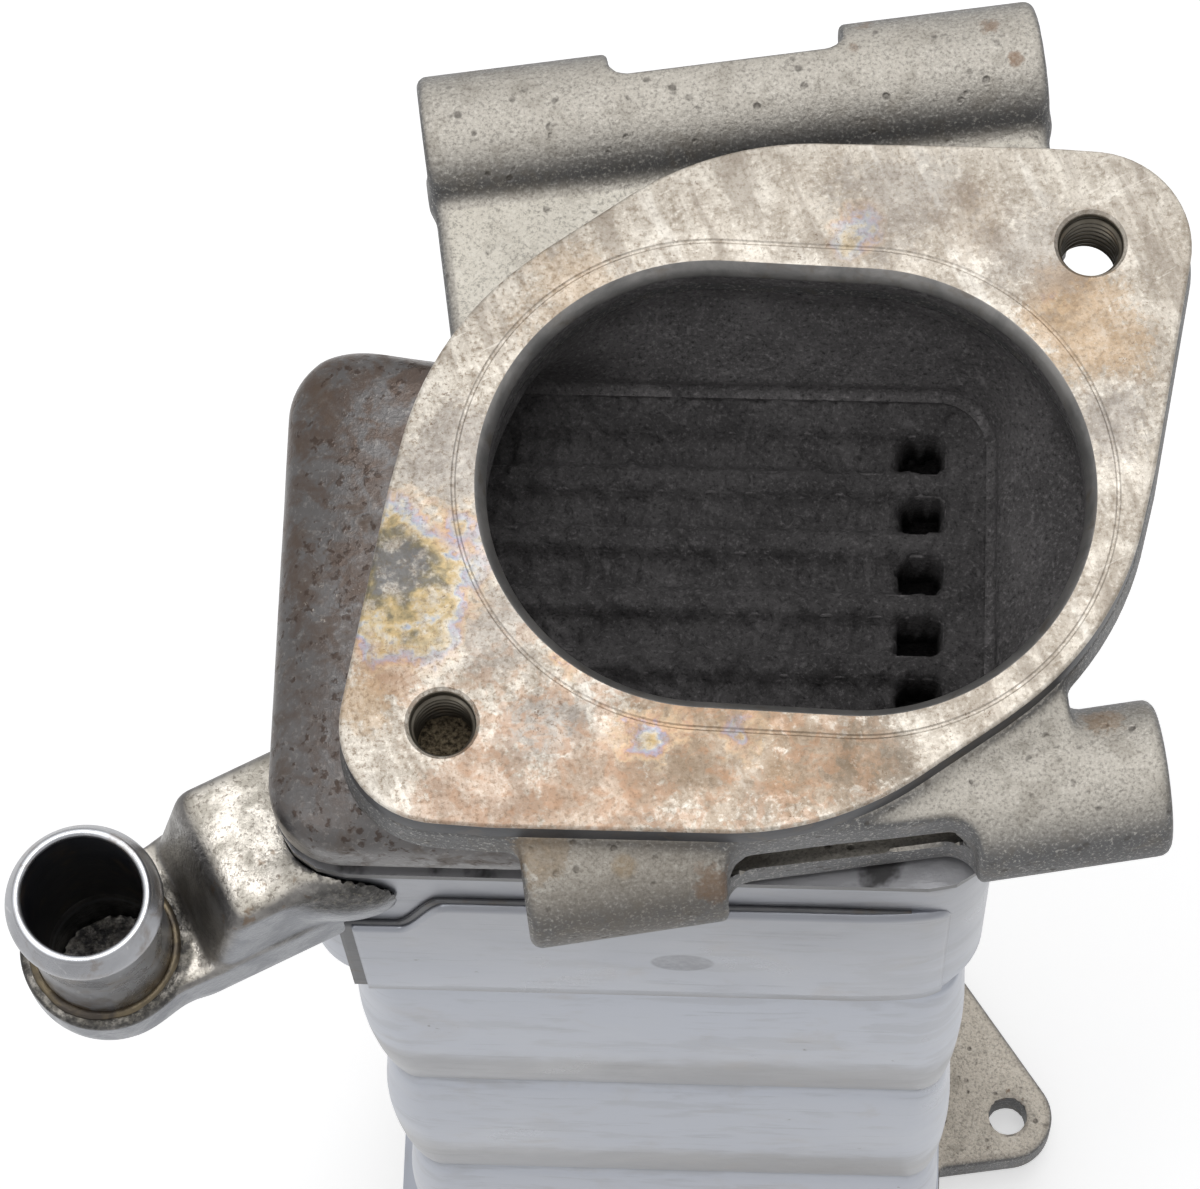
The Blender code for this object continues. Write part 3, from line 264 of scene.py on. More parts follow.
def flange_distance(x, y):
    """Distance to the flange's outline: the greatest of p·u − h(u) over all directions u, h
    being the reach of the two lobes and two broad arcs along u. Negative inside."""
    best = None
    for angle in around(120):
        c, s = math.cos(angle), math.sin(angle)
        reach = max(abs(BOLT_X * c + BOLT_Y * s) + LOBE_RADIUS,
                    abs(BROAD_X * c + BROAD_Y * s) + BROAD_RADIUS)
        value = (x - FLANGE_X) * c + (y - FLANGE_Y) * s - reach
        best = value if best is None else np.maximum(best, value)
    return best


def flange_outline(grow, angles):
    """Point of the flange's outline along each direction from the port's axis, by halving."""
    low, high = np.zeros_like(angles), np.full_like(angles, 70.0)
    for _ in range(26):
        middle = (low + high) / 2
        inside = flange_distance(middle * np.cos(angles), middle * np.sin(angles)) < grow
        low, high = np.where(inside, middle, low), np.where(inside, high, middle)
    return np.stack([low * np.cos(angles), low * np.sin(angles)], axis=1)


# ---------------------------------------------------------------- distance fields
def soft_min(a, b, k):
    """The lesser of two fields, rounded where they meet over a width k."""
    share = np.clip(0.5 + 0.5 * (b - a) / k, 0, 1)
    return b + (a - b) * share - k * share * (1 - share)


def soft_max(a, b, k):
    return -soft_min(-a, -b, k)


def off_middle(x, low, high):
    return np.abs(x - (low + high) / 2) - (high - low) / 2


def both(a, b, rounding):
    """Distance to what lies inside both fields, its edge rounded."""
    a, b = a + rounding, b + rounding
    inner = np.minimum(np.maximum(a, b), 0)
    return inner + np.hypot(np.maximum(a, 0), np.maximum(b, 0)) - rounding


def prism(flat, z, low, high, rounding):
    """A flat distance field given thickness from low to high, with rounded edges."""
    return both(flat, off_middle(z, low, high), rounding)


def slab(x, y, low, high, rounding=0.0):
    """Flat distance to a rectangle between two corners."""
    return both(off_middle(x, low[0], high[0]), off_middle(y, low[1], high[1]), rounding)


def rod(x, y, z, ends, radius, rounding):
    """Round bar along x between two ends (each x, y, z), with rounded end edges."""
    left, right = ends
    share = np.clip((x - left[0]) / (right[0] - left[0]), 0, 1)
    out = np.hypot(y - left[1] - share * (right[1] - left[1]), z - left[2]) - radius
    return both(out, off_middle(x, left[0], right[0]), rounding)


def port_distance(seat, x, y):
    c, s = math.cos(seat["turn"]), math.sin(seat["turn"])
    u, v = c * x + s * y, -s * x + c * y
    return np.hypot(np.maximum(np.abs(u) - seat["straight"], 0), v) - seat["radius"]


def skin(field, low, high, step):
    """Closed skin of a field's inside: one point in each grid cell that the surface crosses, a
    quad round each grid edge that it crosses, then every point moved down the field's slope
    until the field is nought."""
    axes = [np.arange(low[k], high[k] + step, step) for k in range(3)]
    x, y, z = np.meshgrid(*axes, indexing="ij", sparse=True)
    value = np.broadcast_to(field(x, y, z), tuple(len(a) for a in axes)).astype(np.float32)
    full = value < 0
    halves = [slice(None, -1), slice(1, None)]
    total = sum(full[halves[i], halves[j], halves[k]].astype(np.int8)
                for i in (0, 1) for j in (0, 1) for k in (0, 1))
    active = (total > 0) & (total < 8)
    index = np.full(active.shape, -1, np.int64)
    where = np.argwhere(active)
    index[active] = np.arange(len(where))
    points, weight = np.zeros((len(where), 3)), np.zeros(len(where))
    for axis in range(3):
        others = [n for n in range(3) if n != axis]
        for p, q in ((0, 0), (0, 1), (1, 0), (1, 1)):
            shift = np.zeros(3, int)
            shift[others[0]], shift[others[1]] = p, q
            a = value[tuple((where + shift).T)]
            b = value[tuple((where + shift + np.eye(3, dtype=int)[axis]).T)]
            cross = (a < 0) != (b < 0)
            spots = np.tile(shift.astype(float), (len(where), 1))
            spots[:, axis] = np.where(cross, a / np.where(cross, a - b, 1), 0)
            points += spots * cross[:, None]
            weight += cross
    points = (where + points / weight[:, None]) * step + np.array([a[0] for a in axes])
    for _ in range(4):
        points = points - slope_step(field, points, step)
    faces = []
    for axis in range(3):
        first, second = [slice(None)] * 3, [slice(None)] * 3
        first[axis], second[axis] = halves
        a, b = full[tuple(first)], full[tuple(second)]
        spots = np.argwhere(a != b)
        rising = a[tuple(spots.T)]
        others = [(axis + 1) % 3, (axis + 2) % 3]
        keep = (spots[:, others] > 0).all(1)
        spots, rising = spots[keep], rising[keep]
        quad = []
        for p, q in ((0, 0), (1, 0), (1, 1), (0, 1)):
            cell = spots.copy()
            cell[:, others] -= (p, q)
            quad.append(index[tuple(cell.T)])
        quad = np.stack(quad, axis=1)
        quad[~rising] = quad[~rising][:, ::-1]
        faces.append(quad)
    return points, np.concatenate(faces)


def slope_step(field, points, step, h=0.05):
    """Move down the slope: the field's value times its slope over the slope's length squared."""
    x, y, z = points.T
    value = field(x, y, z)
    slope = np.stack([field(x + h, y, z) - field(x - h, y, z),
                      field(x, y + h, z) - field(x, y - h, z),
                      field(x, y, z + h) - field(x, y, z - h)], axis=1) / (2 * h)
    length = np.maximum((slope ** 2).sum(1), 0.05)
    move = slope * (value / length)[:, None]
    reach = np.sqrt((move ** 2).sum(1))
    return move * np.minimum(1, 0.7 * step / np.maximum(reach, 1e-9))[:, None]


# ---------------------------------------------------------------- tank shape, used by its casting
def tank_outline(seat, grow=0.0):
    """Rim of a tank: a rounded box, with its front right side slanted at the inlet."""
    corners, radii = box_corners(TANK_LEFT, TANK_RIGHT, TANK_HALF_Y), [TANK_CORNER] * 4
    if seat["slant"] is not None:
        front = -TANK_HALF_Y + math.tan(seat["clock"]) * (TANK_RIGHT - seat["slant"])
        corners[1:2] = [(seat["slant"], -TANK_HALF_Y), (TANK_RIGHT, front)]
        radii.insert(1, 2 * TANK_CORNER)
    return rounded_outline(corners, radii, grow, steps=16, side=22)


def brow_share(spread):
    """How much of the shoulder is a rounded brow: none where the tank hardly widens."""
    return np.clip((spread / BROW_WIDTH - 1) / 2, 0, 1)


def shoulder(spread, share):
    """How far out and down the shoulder has come at a share of its width: a rounded brow,
    sin^0.55 out and 8(1 − cos^0.55) down, where the tank widens, and a ramp where it doesn't."""
    brow = brow_share(spread)
    turn = share * math.pi / 2
    out = brow * np.sin(turn) ** BROW_POWER + (1 - brow) * share
    fall = BROW_WIDTH * (1 - np.maximum(np.cos(turn), 0) ** BROW_POWER)
    return out, brow * fall + (1 - brow) * RAMP_DROP * share


def tank_room(seat, x, y, z, grow=0.35):
    """Space that the tank fills under its casting, from the shoulder's height at each place."""
    rim = tank_outline(seat, grow) - (seat["x"], seat["y"])
    c, s = math.cos(seat["clock"]), math.sin(seat["clock"])
    rim = np.stack([c * rim[:, 0] + s * rim[:, 1], -s * rim[:, 0] + c * rim[:, 1]], axis=1)
    here = np.arctan2(y, x)
    out = outline_reach(rim, here)
    mouth = stadium_reach(seat, here, TANK_WALL + grow)
    reach = np.hypot(x, y)
    want = np.clip((reach - mouth) / np.maximum(out - mouth, 0.5), 0, 1)
    low, high = np.zeros_like(want), np.ones_like(want)
    for _ in range(12):
        middle = (low + high) / 2
        before = shoulder(out - mouth, middle)[0] < want
        low, high = np.where(before, middle, low), np.where(before, high, middle)
    top = TANK_TOP + grow - shoulder(out - mouth, low)[1]
    return np.maximum(z - top, reach - out)


# ---------------------------------------------------------------- shader building
class Graph:
    """The shader nodes of a group or a material, with short names for what they work out."""

    def __init__(self, tree, place):
        self.tree, self.place = tree, place

    def put(self, socket, value):
        if isinstance(value, bpy.types.NodeSocket):
            self.tree.links.new(value, socket)
        elif value is not None:
            if socket.type == "RGBA" and len(value) == 3:
                value = (*value, 1.0)
            socket.default_value = value

    def node(self, kind, **inputs):
        """Add a node; words ending in _ set its own settings, the rest set or link its inputs."""
        made = self.tree.nodes.new("ShaderNode" + kind)
        for key, value in inputs.items():
            if key.endswith("_"):
                setattr(made, key[:-1], value)
            else:
                self.put(made.inputs[int(key[1:]) if key[1:].isdigit() else key], value)
        return made

    def maths(self, operation, a, b=0.0):
        return self.node("Math", operation_=operation, i0=a, i1=b).outputs[0]

    def plus(self, a, b):
        return self.maths("ADD", a, b)

    def less(self, a, b):
        return self.maths("SUBTRACT", a, b)

    def times(self, a, b):
        return self.maths("MULTIPLY", a, b)

    def most(self, a, b):
        return self.maths("MAXIMUM", a, b)

    def vector(self, operation, a, b):
        return self.node("VectorMath", operation_=operation, i0=a, i1=b).outputs

    def blend(self, factor, a, b):
        return self.node("Mix", data_type_="RGBA", i0=factor, i6=a, i7=b).outputs[2]

    def between(self, value, low, high, to_low=0.0, to_high=1.0):
        return self.node("MapRange", interpolation_type_="SMOOTHSTEP", i0=value, i1=low, i2=high,
                         i3=to_low, i4=to_high).outputs[0]

    def noise(self, scale, detail=4.0, rough=0.55, warp=0.0, place=None):
        return self.node("TexNoise", Vector=self.place if place is None else place, Scale=scale,
                         Detail=detail, Roughness=rough, Distortion=warp).outputs[0]

    def cells(self, scale, place=None):
        return self.node("TexVoronoi", Vector=self.place if place is None else place,
                         Scale=scale).outputs[0]

    def nearness(self, given):
        """Distance from a spot over its reach."""
        return self.maths("DIVIDE", self.vector("DISTANCE", self.place, given["Spot"])["Value"],
                          given["Reach"])

    def seen(self):
        """One for the rays that show the backdrop itself, nought for those that light by it."""
        path = self.node("LightPath").outputs
        return self.most(self.most(path["Is Camera Ray"], path["Is Glossy Ray"]),
                         path["Is Transmission Ray"])


def new_group(name, outputs, **inputs):
    """A group of nodes whose inputs are the surface's place and the numbers given, a Spot
    being a place too."""
    group = bpy.data.node_groups.new(name, "ShaderNodeTree")
    for label, value in {"Vector": None, **inputs}.items():
        kind = "NodeSocketVector" if value is None else "NodeSocketFloat"
        socket = group.interface.new_socket(label, in_out="INPUT", socket_type=kind)
        if value is not None:
            socket.default_value = value
    for label in outputs:
        kind = "NodeSocketColor" if label == "Color" else "NodeSocketFloat"
        group.interface.new_socket(label, in_out="OUTPUT", socket_type=kind)
    given = group.nodes.new("NodeGroupInput").outputs
    return Graph(group, given["Vector"]), given, group.nodes.new("NodeGroupOutput").inputs


def grain_group():
    """Cast grain: fine sand bumps and shallow pits as a height, and the pits as a mask."""
    g, given, out = new_group("Cast Grain", ("Height", "Pits"), Scale=900.0, Pits=0.5)
    scale = given["Scale"]
    fine, coarse = g.noise(scale, 3.0, 0.6), g.noise(g.times(scale, 0.22), 3.0)
    pits = g.times(g.between(g.cells(g.times(scale, 0.35)), 0.32, 0.12),
                   g.between(coarse, 0.50, 0.62))
    pits = g.times(pits, given["Pits"])
    g.put(out["Height"], g.less(g.plus(g.times(fine, 0.45), g.times(coarse, 0.55)), pits))
    g.put(out["Pits"], pits)
    return g.tree


def stain_group():
    """Stains: warped noise cut off at an amount, with soft or hard edges."""
    g, given, out = new_group("Stain", ("Mask",), Scale=60.0, Amount=0.4, Softness=0.1)
    edge = g.plus(g.times(g.less(1.0, given["Amount"]), 0.5), 0.25)
    soft = given["Softness"]
    g.put(out["Mask"], g.between(g.noise(given["Scale"], 6.0, 0.62, 0.5), g.less(edge, soft),
                                 g.plus(edge, soft)))
    return g.tree


def speck_group():
    """Specks: small uneven dots of a cell pattern, kept only where a broad noise is high."""
    g, given, out = new_group("Specks", ("Mask",), Scale=400.0, Density=0.5, Size=0.25)
    scale, size = given["Scale"], given["Size"]
    wander = g.node("TexNoise", Vector=g.place, Scale=g.times(scale, 2.0)).outputs[1]
    wander = g.node("VectorMath", operation_="SCALE", i0=wander, Scale=0.0022).outputs[0]
    moved = g.vector("ADD", g.place, wander)[0]
    dots = g.between(g.cells(scale, moved), size, g.times(size, 0.4))
    edge = g.less(0.72, g.times(given["Density"], 0.3))
    kept = g.between(g.noise(g.times(scale, 0.12)), edge, g.plus(edge, 0.05))
    g.put(out["Mask"], g.times(dots, kept))
    return g.tree


def patch_group():
    """One stain about a spot: distance from the spot over its reach, its edge broken by noise
    at a broad and a fine scale, thinner where the fine noise is low."""
    g, given, out = new_group("Patch", ("Mask",), Spot=None, Reach=0.01, Break=0.6, Softness=0.3)
    broad, fine = g.noise(130.0, 4.0, 0.6), g.noise(900.0, 4.0, 0.7)
    uneven = g.less(g.plus(g.times(broad, 1.6), g.times(fine, 2.0)), 1.8)
    share = g.plus(g.nearness(given), g.times(uneven, given["Break"]))
    soft = given["Softness"]
    mask = g.between(share, g.plus(1.0, soft), g.less(1.0, soft))
    g.put(out["Mask"], g.times(mask, g.between(fine, 0.30, 0.62, 0.55, 1.0)))
    return g.tree


# share of heat at which each colour of the tint stands, from cool straw to burnt grey
HEAT_COLORS = ((0.0, (0.62, 0.55, 0.44)), (0.12, (0.62, 0.45, 0.28)), (0.22, (0.52, 0.32, 0.21)),
               (0.29, (0.38, 0.32, 0.42)), (0.36, (0.34, 0.40, 0.50)), (0.43, (0.56, 0.50, 0.38)),
               (0.52, (0.50, 0.36, 0.16)), (0.60, (0.30, 0.23, 0.10)), (0.70, (0.12, 0.10, 0.05)),
               (0.82, (0.085, 0.083, 0.08)), (1.0, (0.10, 0.103, 0.11)))


def heat_group():
    """Heat tints of steel about a spot: heat falls off with distance and wanders with noise at
    three scales, and its value picks the colour of the oxide film."""
    g, given, out = new_group("Heat Tint", ("Color", "Mask"), Spot=None, Reach=0.01, Heat=1.0)
    share = g.nearness(given)
    heat = g.times(g.less(1.0, share), given["Heat"])
    for scale, amount in ((90.0, 1.4), (260.0, 0.9), (900.0, 0.35)):
        heat = g.plus(heat, g.times(g.less(g.noise(scale, 3.0, 0.6, 0.4), 0.5), amount))
    ramp = g.node("ValToRGB", i0=heat)
    stops = ramp.color_ramp.elements
    stops[0].position, stops[1].position = HEAT_COLORS[0][0], HEAT_COLORS[-1][0]
    stops[0].color, stops[1].color = (*HEAT_COLORS[0][1], 1), (*HEAT_COLORS[-1][1], 1)
    for place, color in HEAT_COLORS[1:-1]:
        stops.new(place).color = (*color, 1)
    mask = g.times(g.between(heat, 0.0, 0.15), g.between(share, 1.35, 0.5))
    g.put(out["Color"], ramp.outputs[0])
    g.put(out["Mask"], g.times(mask, g.between(g.noise(420.0, 5.0, 0.7), 0.34, 0.56, 0.25, 1.0)))
    return g.tree


def streak_group():
    """Level streaks: noise drawn out along the level directions, for rolled and rubbed sheet."""
    g, given, out = new_group("Streaks", ("Mask",), Scale=300.0, Stretch=0.12, Amount=0.4)
    squeeze = g.node("CombineXYZ", X=given["Stretch"], Y=given["Stretch"], Z=1.0).outputs[0]
    value = g.noise(given["Scale"], 5.0, 0.6, 0.3, g.vector("MULTIPLY", g.place, squeeze)[0])
    edge = g.less(0.78, g.times(given["Amount"], 0.45))
    g.put(out["Mask"], g.between(value, edge, g.plus(edge, 0.12)))
    return g.tree


def scratch_group():
    """Scratches: noise drawn out along one direction, thin bright lines where it peaks."""
    g, given, out = new_group("Scratches", ("Lines", "Brushed"), Angle=0.0, Scale=900.0,
                              Stretch=0.03)
    turned = g.node("VectorRotate", rotation_type_="Z_AXIS", Vector=g.place,
                    Angle=given["Angle"]).outputs[0]
    squeeze = g.node("CombineXYZ", X=given["Stretch"], Y=1.0, Z=0.3).outputs[0]
    drawn = g.vector("MULTIPLY", turned, squeeze)[0]
    brushed = g.noise(given["Scale"], 4.0, 0.6, 0.0, drawn)
    wide = g.noise(g.times(given["Scale"], 0.3), 3.0, 0.5, 0.4, drawn)
    g.put(out["Lines"], g.between(brushed, 0.62, 0.70))
    g.put(out["Brushed"], g.plus(g.times(brushed, 0.5), g.times(wide, 0.5)))
    return g.tree


GROUP_MAKERS = {"Cast Grain": grain_group, "Stain": stain_group, "Specks": speck_group,
                "Patch": patch_group, "Scratches": scratch_group, "Heat Tint": heat_group,
                "Streaks": streak_group}
GROUPS = {}


def spot(x, y, z, seat=None):
    """A place on the cooler, in millimetres of its body or of a seat, as a vector in metres."""
    return tuple(to_world([(x, y, z)], seat)[0])


def shaded(color, factor):
    return tuple(factor * c for c in color)


class Paint(Graph):
    """A material as it is built: its shader, and the colour laid on it so far."""

    def __init__(self, name, metallic, roughness, specular=None):
        self.material = bpy.data.materials.new(name)
        self.material.use_nodes = True
        super().__init__(self.material.node_tree, None)
        self.place = self.node("TexCoord").outputs["Object"]
        self.shader = self.tree.nodes["Principled BSDF"].inputs
        self.base = None
        for key, value in (("Metallic", metallic), ("Roughness", roughness),
                           ("Specular IOR Level", specular)):
            self.put(self.shader[key], value)

    def effect(self, name, **values):
        """Place one of the shared groups, each made once."""
        if name not in GROUPS:
            GROUPS[name] = GROUP_MAKERS[name]()
        return self.node("Group", node_tree_=GROUPS[name], Vector=self.place, **values).outputs

    def stain(self, scale, amount, softness):
        return self.effect("Stain", Scale=scale, Amount=amount, Softness=softness)["Mask"]

    def specks(self, scale, density, size):
        return self.effect("Specks", Scale=scale, Density=density, Size=size)["Mask"]

    def streaks(self, scale, stretch, amount):
        return self.effect("Streaks", Scale=scale, Stretch=stretch, Amount=amount)["Mask"]

    def patch(self, place, reach, broken, softness=0.3):
        return self.effect("Patch", Spot=place, Reach=reach * 0.001, Break=broken,
                           Softness=softness)["Mask"]

    def axis(self, name):
        return self.node("SeparateXYZ", Vector=self.place).outputs[name]

    def upright(self):
        """How far the surface faces up, from -1 to 1."""
        normal = self.node("NewGeometry").outputs["Normal"]
        return self.node("SeparateXYZ", Vector=normal).outputs["Z"]

    def height_band(self, middle, half, edge):
        """Mask of the heights (mm above the floor) within half of the middle one."""
        away = self.maths("ABSOLUTE", self.less(self.axis("Z"), middle * 0.001))
        return self.between(away, (half + edge) * 0.001, half * 0.001)

    def lay(self, mask, color, depth=None):
        """Lay a colour over the one so far, where the mask is and as deep as is said."""
        if depth is not None:
            mask = self.times(mask, depth)
        self.base = self.blend(mask, self.base, color)

    def fade(self, value, low, high, depth, color):
        """Lay a colour as a value goes from low to high."""
        self.lay(self.between(value, low, high, 0.0, depth), color)

    def marks(self, stains):
        """Lay stains (x, y, z and reach in mm of the inlet, colour, depth, broken edge)."""
        for x, y, z, reach, color, depth, broken in stains:
            self.lay(self.patch(spot(x, y, z, INLET), reach, 1.6 * broken), color, depth)

    def done(self, height, distance, strength, rough=None):
        """Join colour, bump and roughness to the shader, and give the material."""
        self.put(self.shader["Base Color"], self.base)
        self.put(self.shader["Roughness"], rough)
        self.put(self.shader["Normal"], self.node("Bump", Height=height, Distance=distance,
                                                  Strength=strength).outputs[0])
        return self.material


# place in the casting (mm), reach (mm), colour, depth, broken edge
RUST, SOIL = (0.19, 0.10, 0.045), (0.15, 0.125, 0.095)
CAST_STAINS = (
    (18.0, 59.0, -6.0, 1.6, RUST, 0.8, 0.6), (33.0, 56.5, -3.6, 1.3, RUST, 0.8, 0.6),
    (35.5, 52.0, -2.4, 0.9, RUST, 0.8, 0.6), (16.0, 56.0, -3.0, 0.9, RUST, 0.7, 0.6),
    (33.5, -31.0, -7.0, 2.6, (0.33, 0.20, 0.10), 0.6, 0.7),
    (14.5, -32.5, -8.5, 2.2, (0.26, 0.16, 0.09), 0.6, 0.7),
    (-34.0, -40.0, -5.8, 3.2, (0.30, 0.20, 0.10), 0.6, 0.8),
    (-24.0, -45.0, -7.5, 12.0, SOIL, 0.5, 0.6), (-14.5, -46.0, -8.0, 2.6, RUST, 0.6, 0.8),
    (-24.8, -42.5, -6.1, 1.5, (0.30, 0.21, 0.11), 0.55, 0.4),
    (12.0, -47.0, -14.0, 3.0, RUST, 0.5, 0.8))
BROWN, GREY, ORANGE = (0.24, 0.155, 0.085), (0.24, 0.215, 0.20), (0.46, 0.30, 0.16)
FACE_STAINS = (
    (-12.0, -32.5, 0.0, 9.0, BROWN, 0.75, 0.9), (0.0, -33.8, 0.0, 7.0, BROWN, 0.75, 0.9),
    (6.0, -34.0, 0.0, 5.0, (0.12, 0.085, 0.05), 0.7, 0.9),
    (-31.6, -25.8, 0.0, 4.6, GREY, 0.65, 0.7), (-14.7, -27.0, 0.0, 5.0, BROWN, 0.55, 0.9),
    (-41.0, -35.0, 0.0, 7.5, (0.36, 0.22, 0.14), 0.65, 0.9),
    (-27.0, -34.5, 0.0, 6.5, (0.40, 0.26, 0.17), 0.6, 0.9),
    (-49.4, -16.6, 0.0, 4.2, (0.33, 0.18, 0.09), 0.75, 0.8),
    (-53.0, -20.0, 0.0, 3.6, ORANGE, 0.6, 0.8), (-36.5, -14.5, 0.0, 5.0, GREY, 0.5, 0.9),
    (38.0, 15.5, 0.0, 7.0, ORANGE, 0.7, 0.9), (35.0, 20.5, 0.0, 4.0, BROWN, 0.55, 0.9),
    (39.5, 3.0, 0.0, 4.5, GREY, 0.6, 0.9), (19.0, 34.5, 0.0, 6.5, GREY, 0.5, 0.9),
    (27.5, 29.5, 0.0, 5.0, BROWN, 0.4, 0.9), (-38.0, 8.5, 0.0, 6.0, GREY, 0.6, 0.8),
    (-22.0, 27.5, 0.0, 6.0, ORANGE, 0.35, 0.9), (33.0, 26.0, 0.0, 6.0, GREY, 0.45, 0.9))
# x and y on the face (mm), reach (mm), heat at its middle, depth
FACE_HEAT = (
    (-48.0, -5.5, 12.0, 0.98, 0.88), (-20.0, -29.0, 5.5, 0.45, 0.8),
    (-29.5, -17.6, 4.5, 0.3, 0.7), (37.0, 14.0, 6.0, 0.2, 0.6), (12.5, 31.5, 4.0, 0.35, 0.5),
    (-39.0, 0.0, 4.0, 0.45, 0.6), (-9.0, -30.5, 4.0, 0.4, 0.6))


def cast_material(looks):
    """Sandy cast steel: strong fine grain, pale where it lies flat, painted light on the flat web
    tops, painted blue grey shade on its flanks and undersides, with pits and rust spots."""
    p = Paint("cast_steel", 0.35, 0.5)
    grain = p.effect("Cast Grain", Scale=1500.0, Pits=0.7)
    cloud, up, fine = p.stain(60.0, 0.5, 0.3), p.upright(), p.noise(2300.0, 3.0, 0.7)
    p.base = p.blend(cloud, shaded(looks.cast_color, 0.88), shaded(looks.cast_color, 1.1))
    # painted light: the flat web tops and the ear's top laid paler where they face up
    web_light_band = p.most(p.height_band(321.5, 0.4, 0.5), p.height_band(9.5, 0.6, 0.6))
    p.lay(p.times(p.between(up, 0.95, 0.99), web_light_band), (0.64, 0.60, 0.525))
    p.fade(p.axis("Z"), 0.05, 0.02, 0.5, (0.58, 0.50, 0.41))
    # painted shade: blue grey as a face tilts from upright, darker still on undersides
    p.fade(up, 0.97, 0.42, 0.95, (0.10, 0.103, 0.11))
    p.fade(up, 0.25, -0.3, 0.75, (0.05, 0.052, 0.06))
    p.fade(fine, 0.50, 0.36, 0.48, (0.13, 0.12, 0.105))
    p.fade(fine, 0.52, 0.70, 0.55, (0.74, 0.71, 0.65))
    p.lay(p.stain(260.0, 0.32, 0.10), (0.17, 0.145, 0.11), 0.35)
    p.lay(p.specks(420.0, 0.25, 0.24), tuple(looks.rust_color), 0.8)
    p.lay(grain["Pits"], (0.07, 0.06, 0.05), 0.9)
    p.marks(CAST_STAINS)
    return p.done(p.plus(grain["Height"], p.times(fine, 0.35)), 0.0003, 1.0,
                  p.between(cloud, 0.0, 1.0, 0.42, 0.56))


def face_material(looks):
    """Machined sealing face: mottled champagne steel with fine brown speckle, scratches, soot,
    rust and heat tints."""
    p = Paint("machined_flange", 0.45, 0.42)
    brush = p.effect("Scratches", Angle=1.15, Scale=1500.0, Stretch=0.13)
    cross = p.effect("Scratches", Angle=-0.5, Scale=1300.0, Stretch=0.10)
    smudge = p.effect("Scratches", Angle=1.15, Scale=420.0, Stretch=0.16)["Brushed"]
    mottle, fine = p.noise(210.0, 6.0, 0.72, 0.3), p.noise(1500.0, 4.0, 0.75)
    p.base = p.blend(p.between(mottle, 0.36, 0.64), shaded(looks.face_color, 0.70),
                     (0.74, 0.69, 0.61))
    p.lay(p.stain(70.0, 0.5, 0.16), (0.42, 0.355, 0.285), 0.40)
    p.fade(brush["Brushed"], 0.53, 0.40, 0.4, (0.36, 0.31, 0.25))
    left = p.between(p.axis("X"), 0.022, -0.012, 0.35, 1.0)
    p.lay(p.times(p.between(fine, 0.49, 0.37, 0.0, 0.6), left), (0.27, 0.20, 0.14))
    p.fade(fine, 0.53, 0.66, 0.5, (0.86, 0.82, 0.75))
    p.fade(smudge, 0.47, 0.37, 0.62, (0.29, 0.245, 0.20))
    p.fade(smudge, 0.54, 0.64, 0.55, (0.82, 0.78, 0.71))
    p.lay(cross["Lines"], (0.84, 0.80, 0.73), 0.35)
    p.lay(brush["Lines"], (0.22, 0.18, 0.14), 0.3)
    p.marks(FACE_STAINS)
    near = p.patch(spot(-20.0, -34.0, 0.0, INLET), 26.0, 0.5)
    p.lay(p.times(near, p.stain(520.0, 0.44, 0.07)), (0.40, 0.22, 0.12), 0.6)
    for x, y, reach, heat, depth in FACE_HEAT:
        tint = p.effect("Heat Tint", Spot=spot(x, y, 0.0, INLET), Reach=reach * 0.001, Heat=heat)
        p.lay(tint["Mask"], tint["Color"], depth)
    p.fade(fine, 0.48, 0.38, 0.35, (0.16, 0.12, 0.08))
    p.lay(p.specks(900.0, 0.5, 0.24), (0.13, 0.075, 0.04), 0.7)
    height = p.plus(brush["Brushed"], p.times(cross["Brushed"], 0.6))
    return p.done(p.plus(height, fine), 0.00007, 0.7, p.between(mottle, 0.35, 0.65, 0.50, 0.34))


# dark and light tone, roughness, metal
STEELS = {
    # painted shade: the flange band's side in near black
    "side": ("flange_side_painted_shade", (0.022, 0.024, 0.030), (0.06, 0.06, 0.066), 0.42, 0.1),
    "chamfer": ("port_chamfer", (0.17, 0.168, 0.165), (0.30, 0.29, 0.28), 0.34, 0.6),
    "thread": ("thread_steel", (0.085, 0.075, 0.058), (0.16, 0.145, 0.12), 0.34, 0.7),
    # painted shade: the spigot's bore in near black
    "bore": ("spigot_bore_painted_shade", (0.012, 0.013, 0.018), (0.032, 0.033, 0.038), 0.38, 0.2),
    # painted shade: the dark lap sheet along the tongue's edge
    "seam": ("lap_painted_shade", (0.105, 0.106, 0.112), (0.15, 0.15, 0.155), 0.45, 0.4)}


def steel_material(name, dark, light, roughness, metallic):
    """Plain steel between two tones, with brown stains and a fine bump: rubbed steel for the
    chamfer and threads, painted shade for the band's side, the spigot bore and the tongue's lap.
    """
    p = Paint(name, metallic, roughness, 0.3)
    p.base = p.blend(p.stain(150.0, 0.5, 0.2), dark, light)
    p.lay(p.stain(320.0, 0.28, 0.1), (0.13, 0.09, 0.05), 0.4)
    return p.done(p.noise(900.0, 3.0), 0.00006, 0.6)


def header_material(looks):
    """Header plate: black at its edge, streaky bright steel where its ledge lies bare."""
    p = Paint("header_steel", 0.7, 0.3)
    bare = p.blend(p.streaks(420.0, 0.2, 0.6), (0.40, 0.40, 0.42), (0.09, 0.088, 0.09))
    ledge = p.times(p.between(p.upright(), 0.4, 0.9), p.between(p.axis("Y"), -0.0365, -0.0385))
    p.base = p.blend(ledge, (0.028, 0.027, 0.028), bare)
    return p.done(p.noise(260.0, 4.0), 0.00014, 0.6)


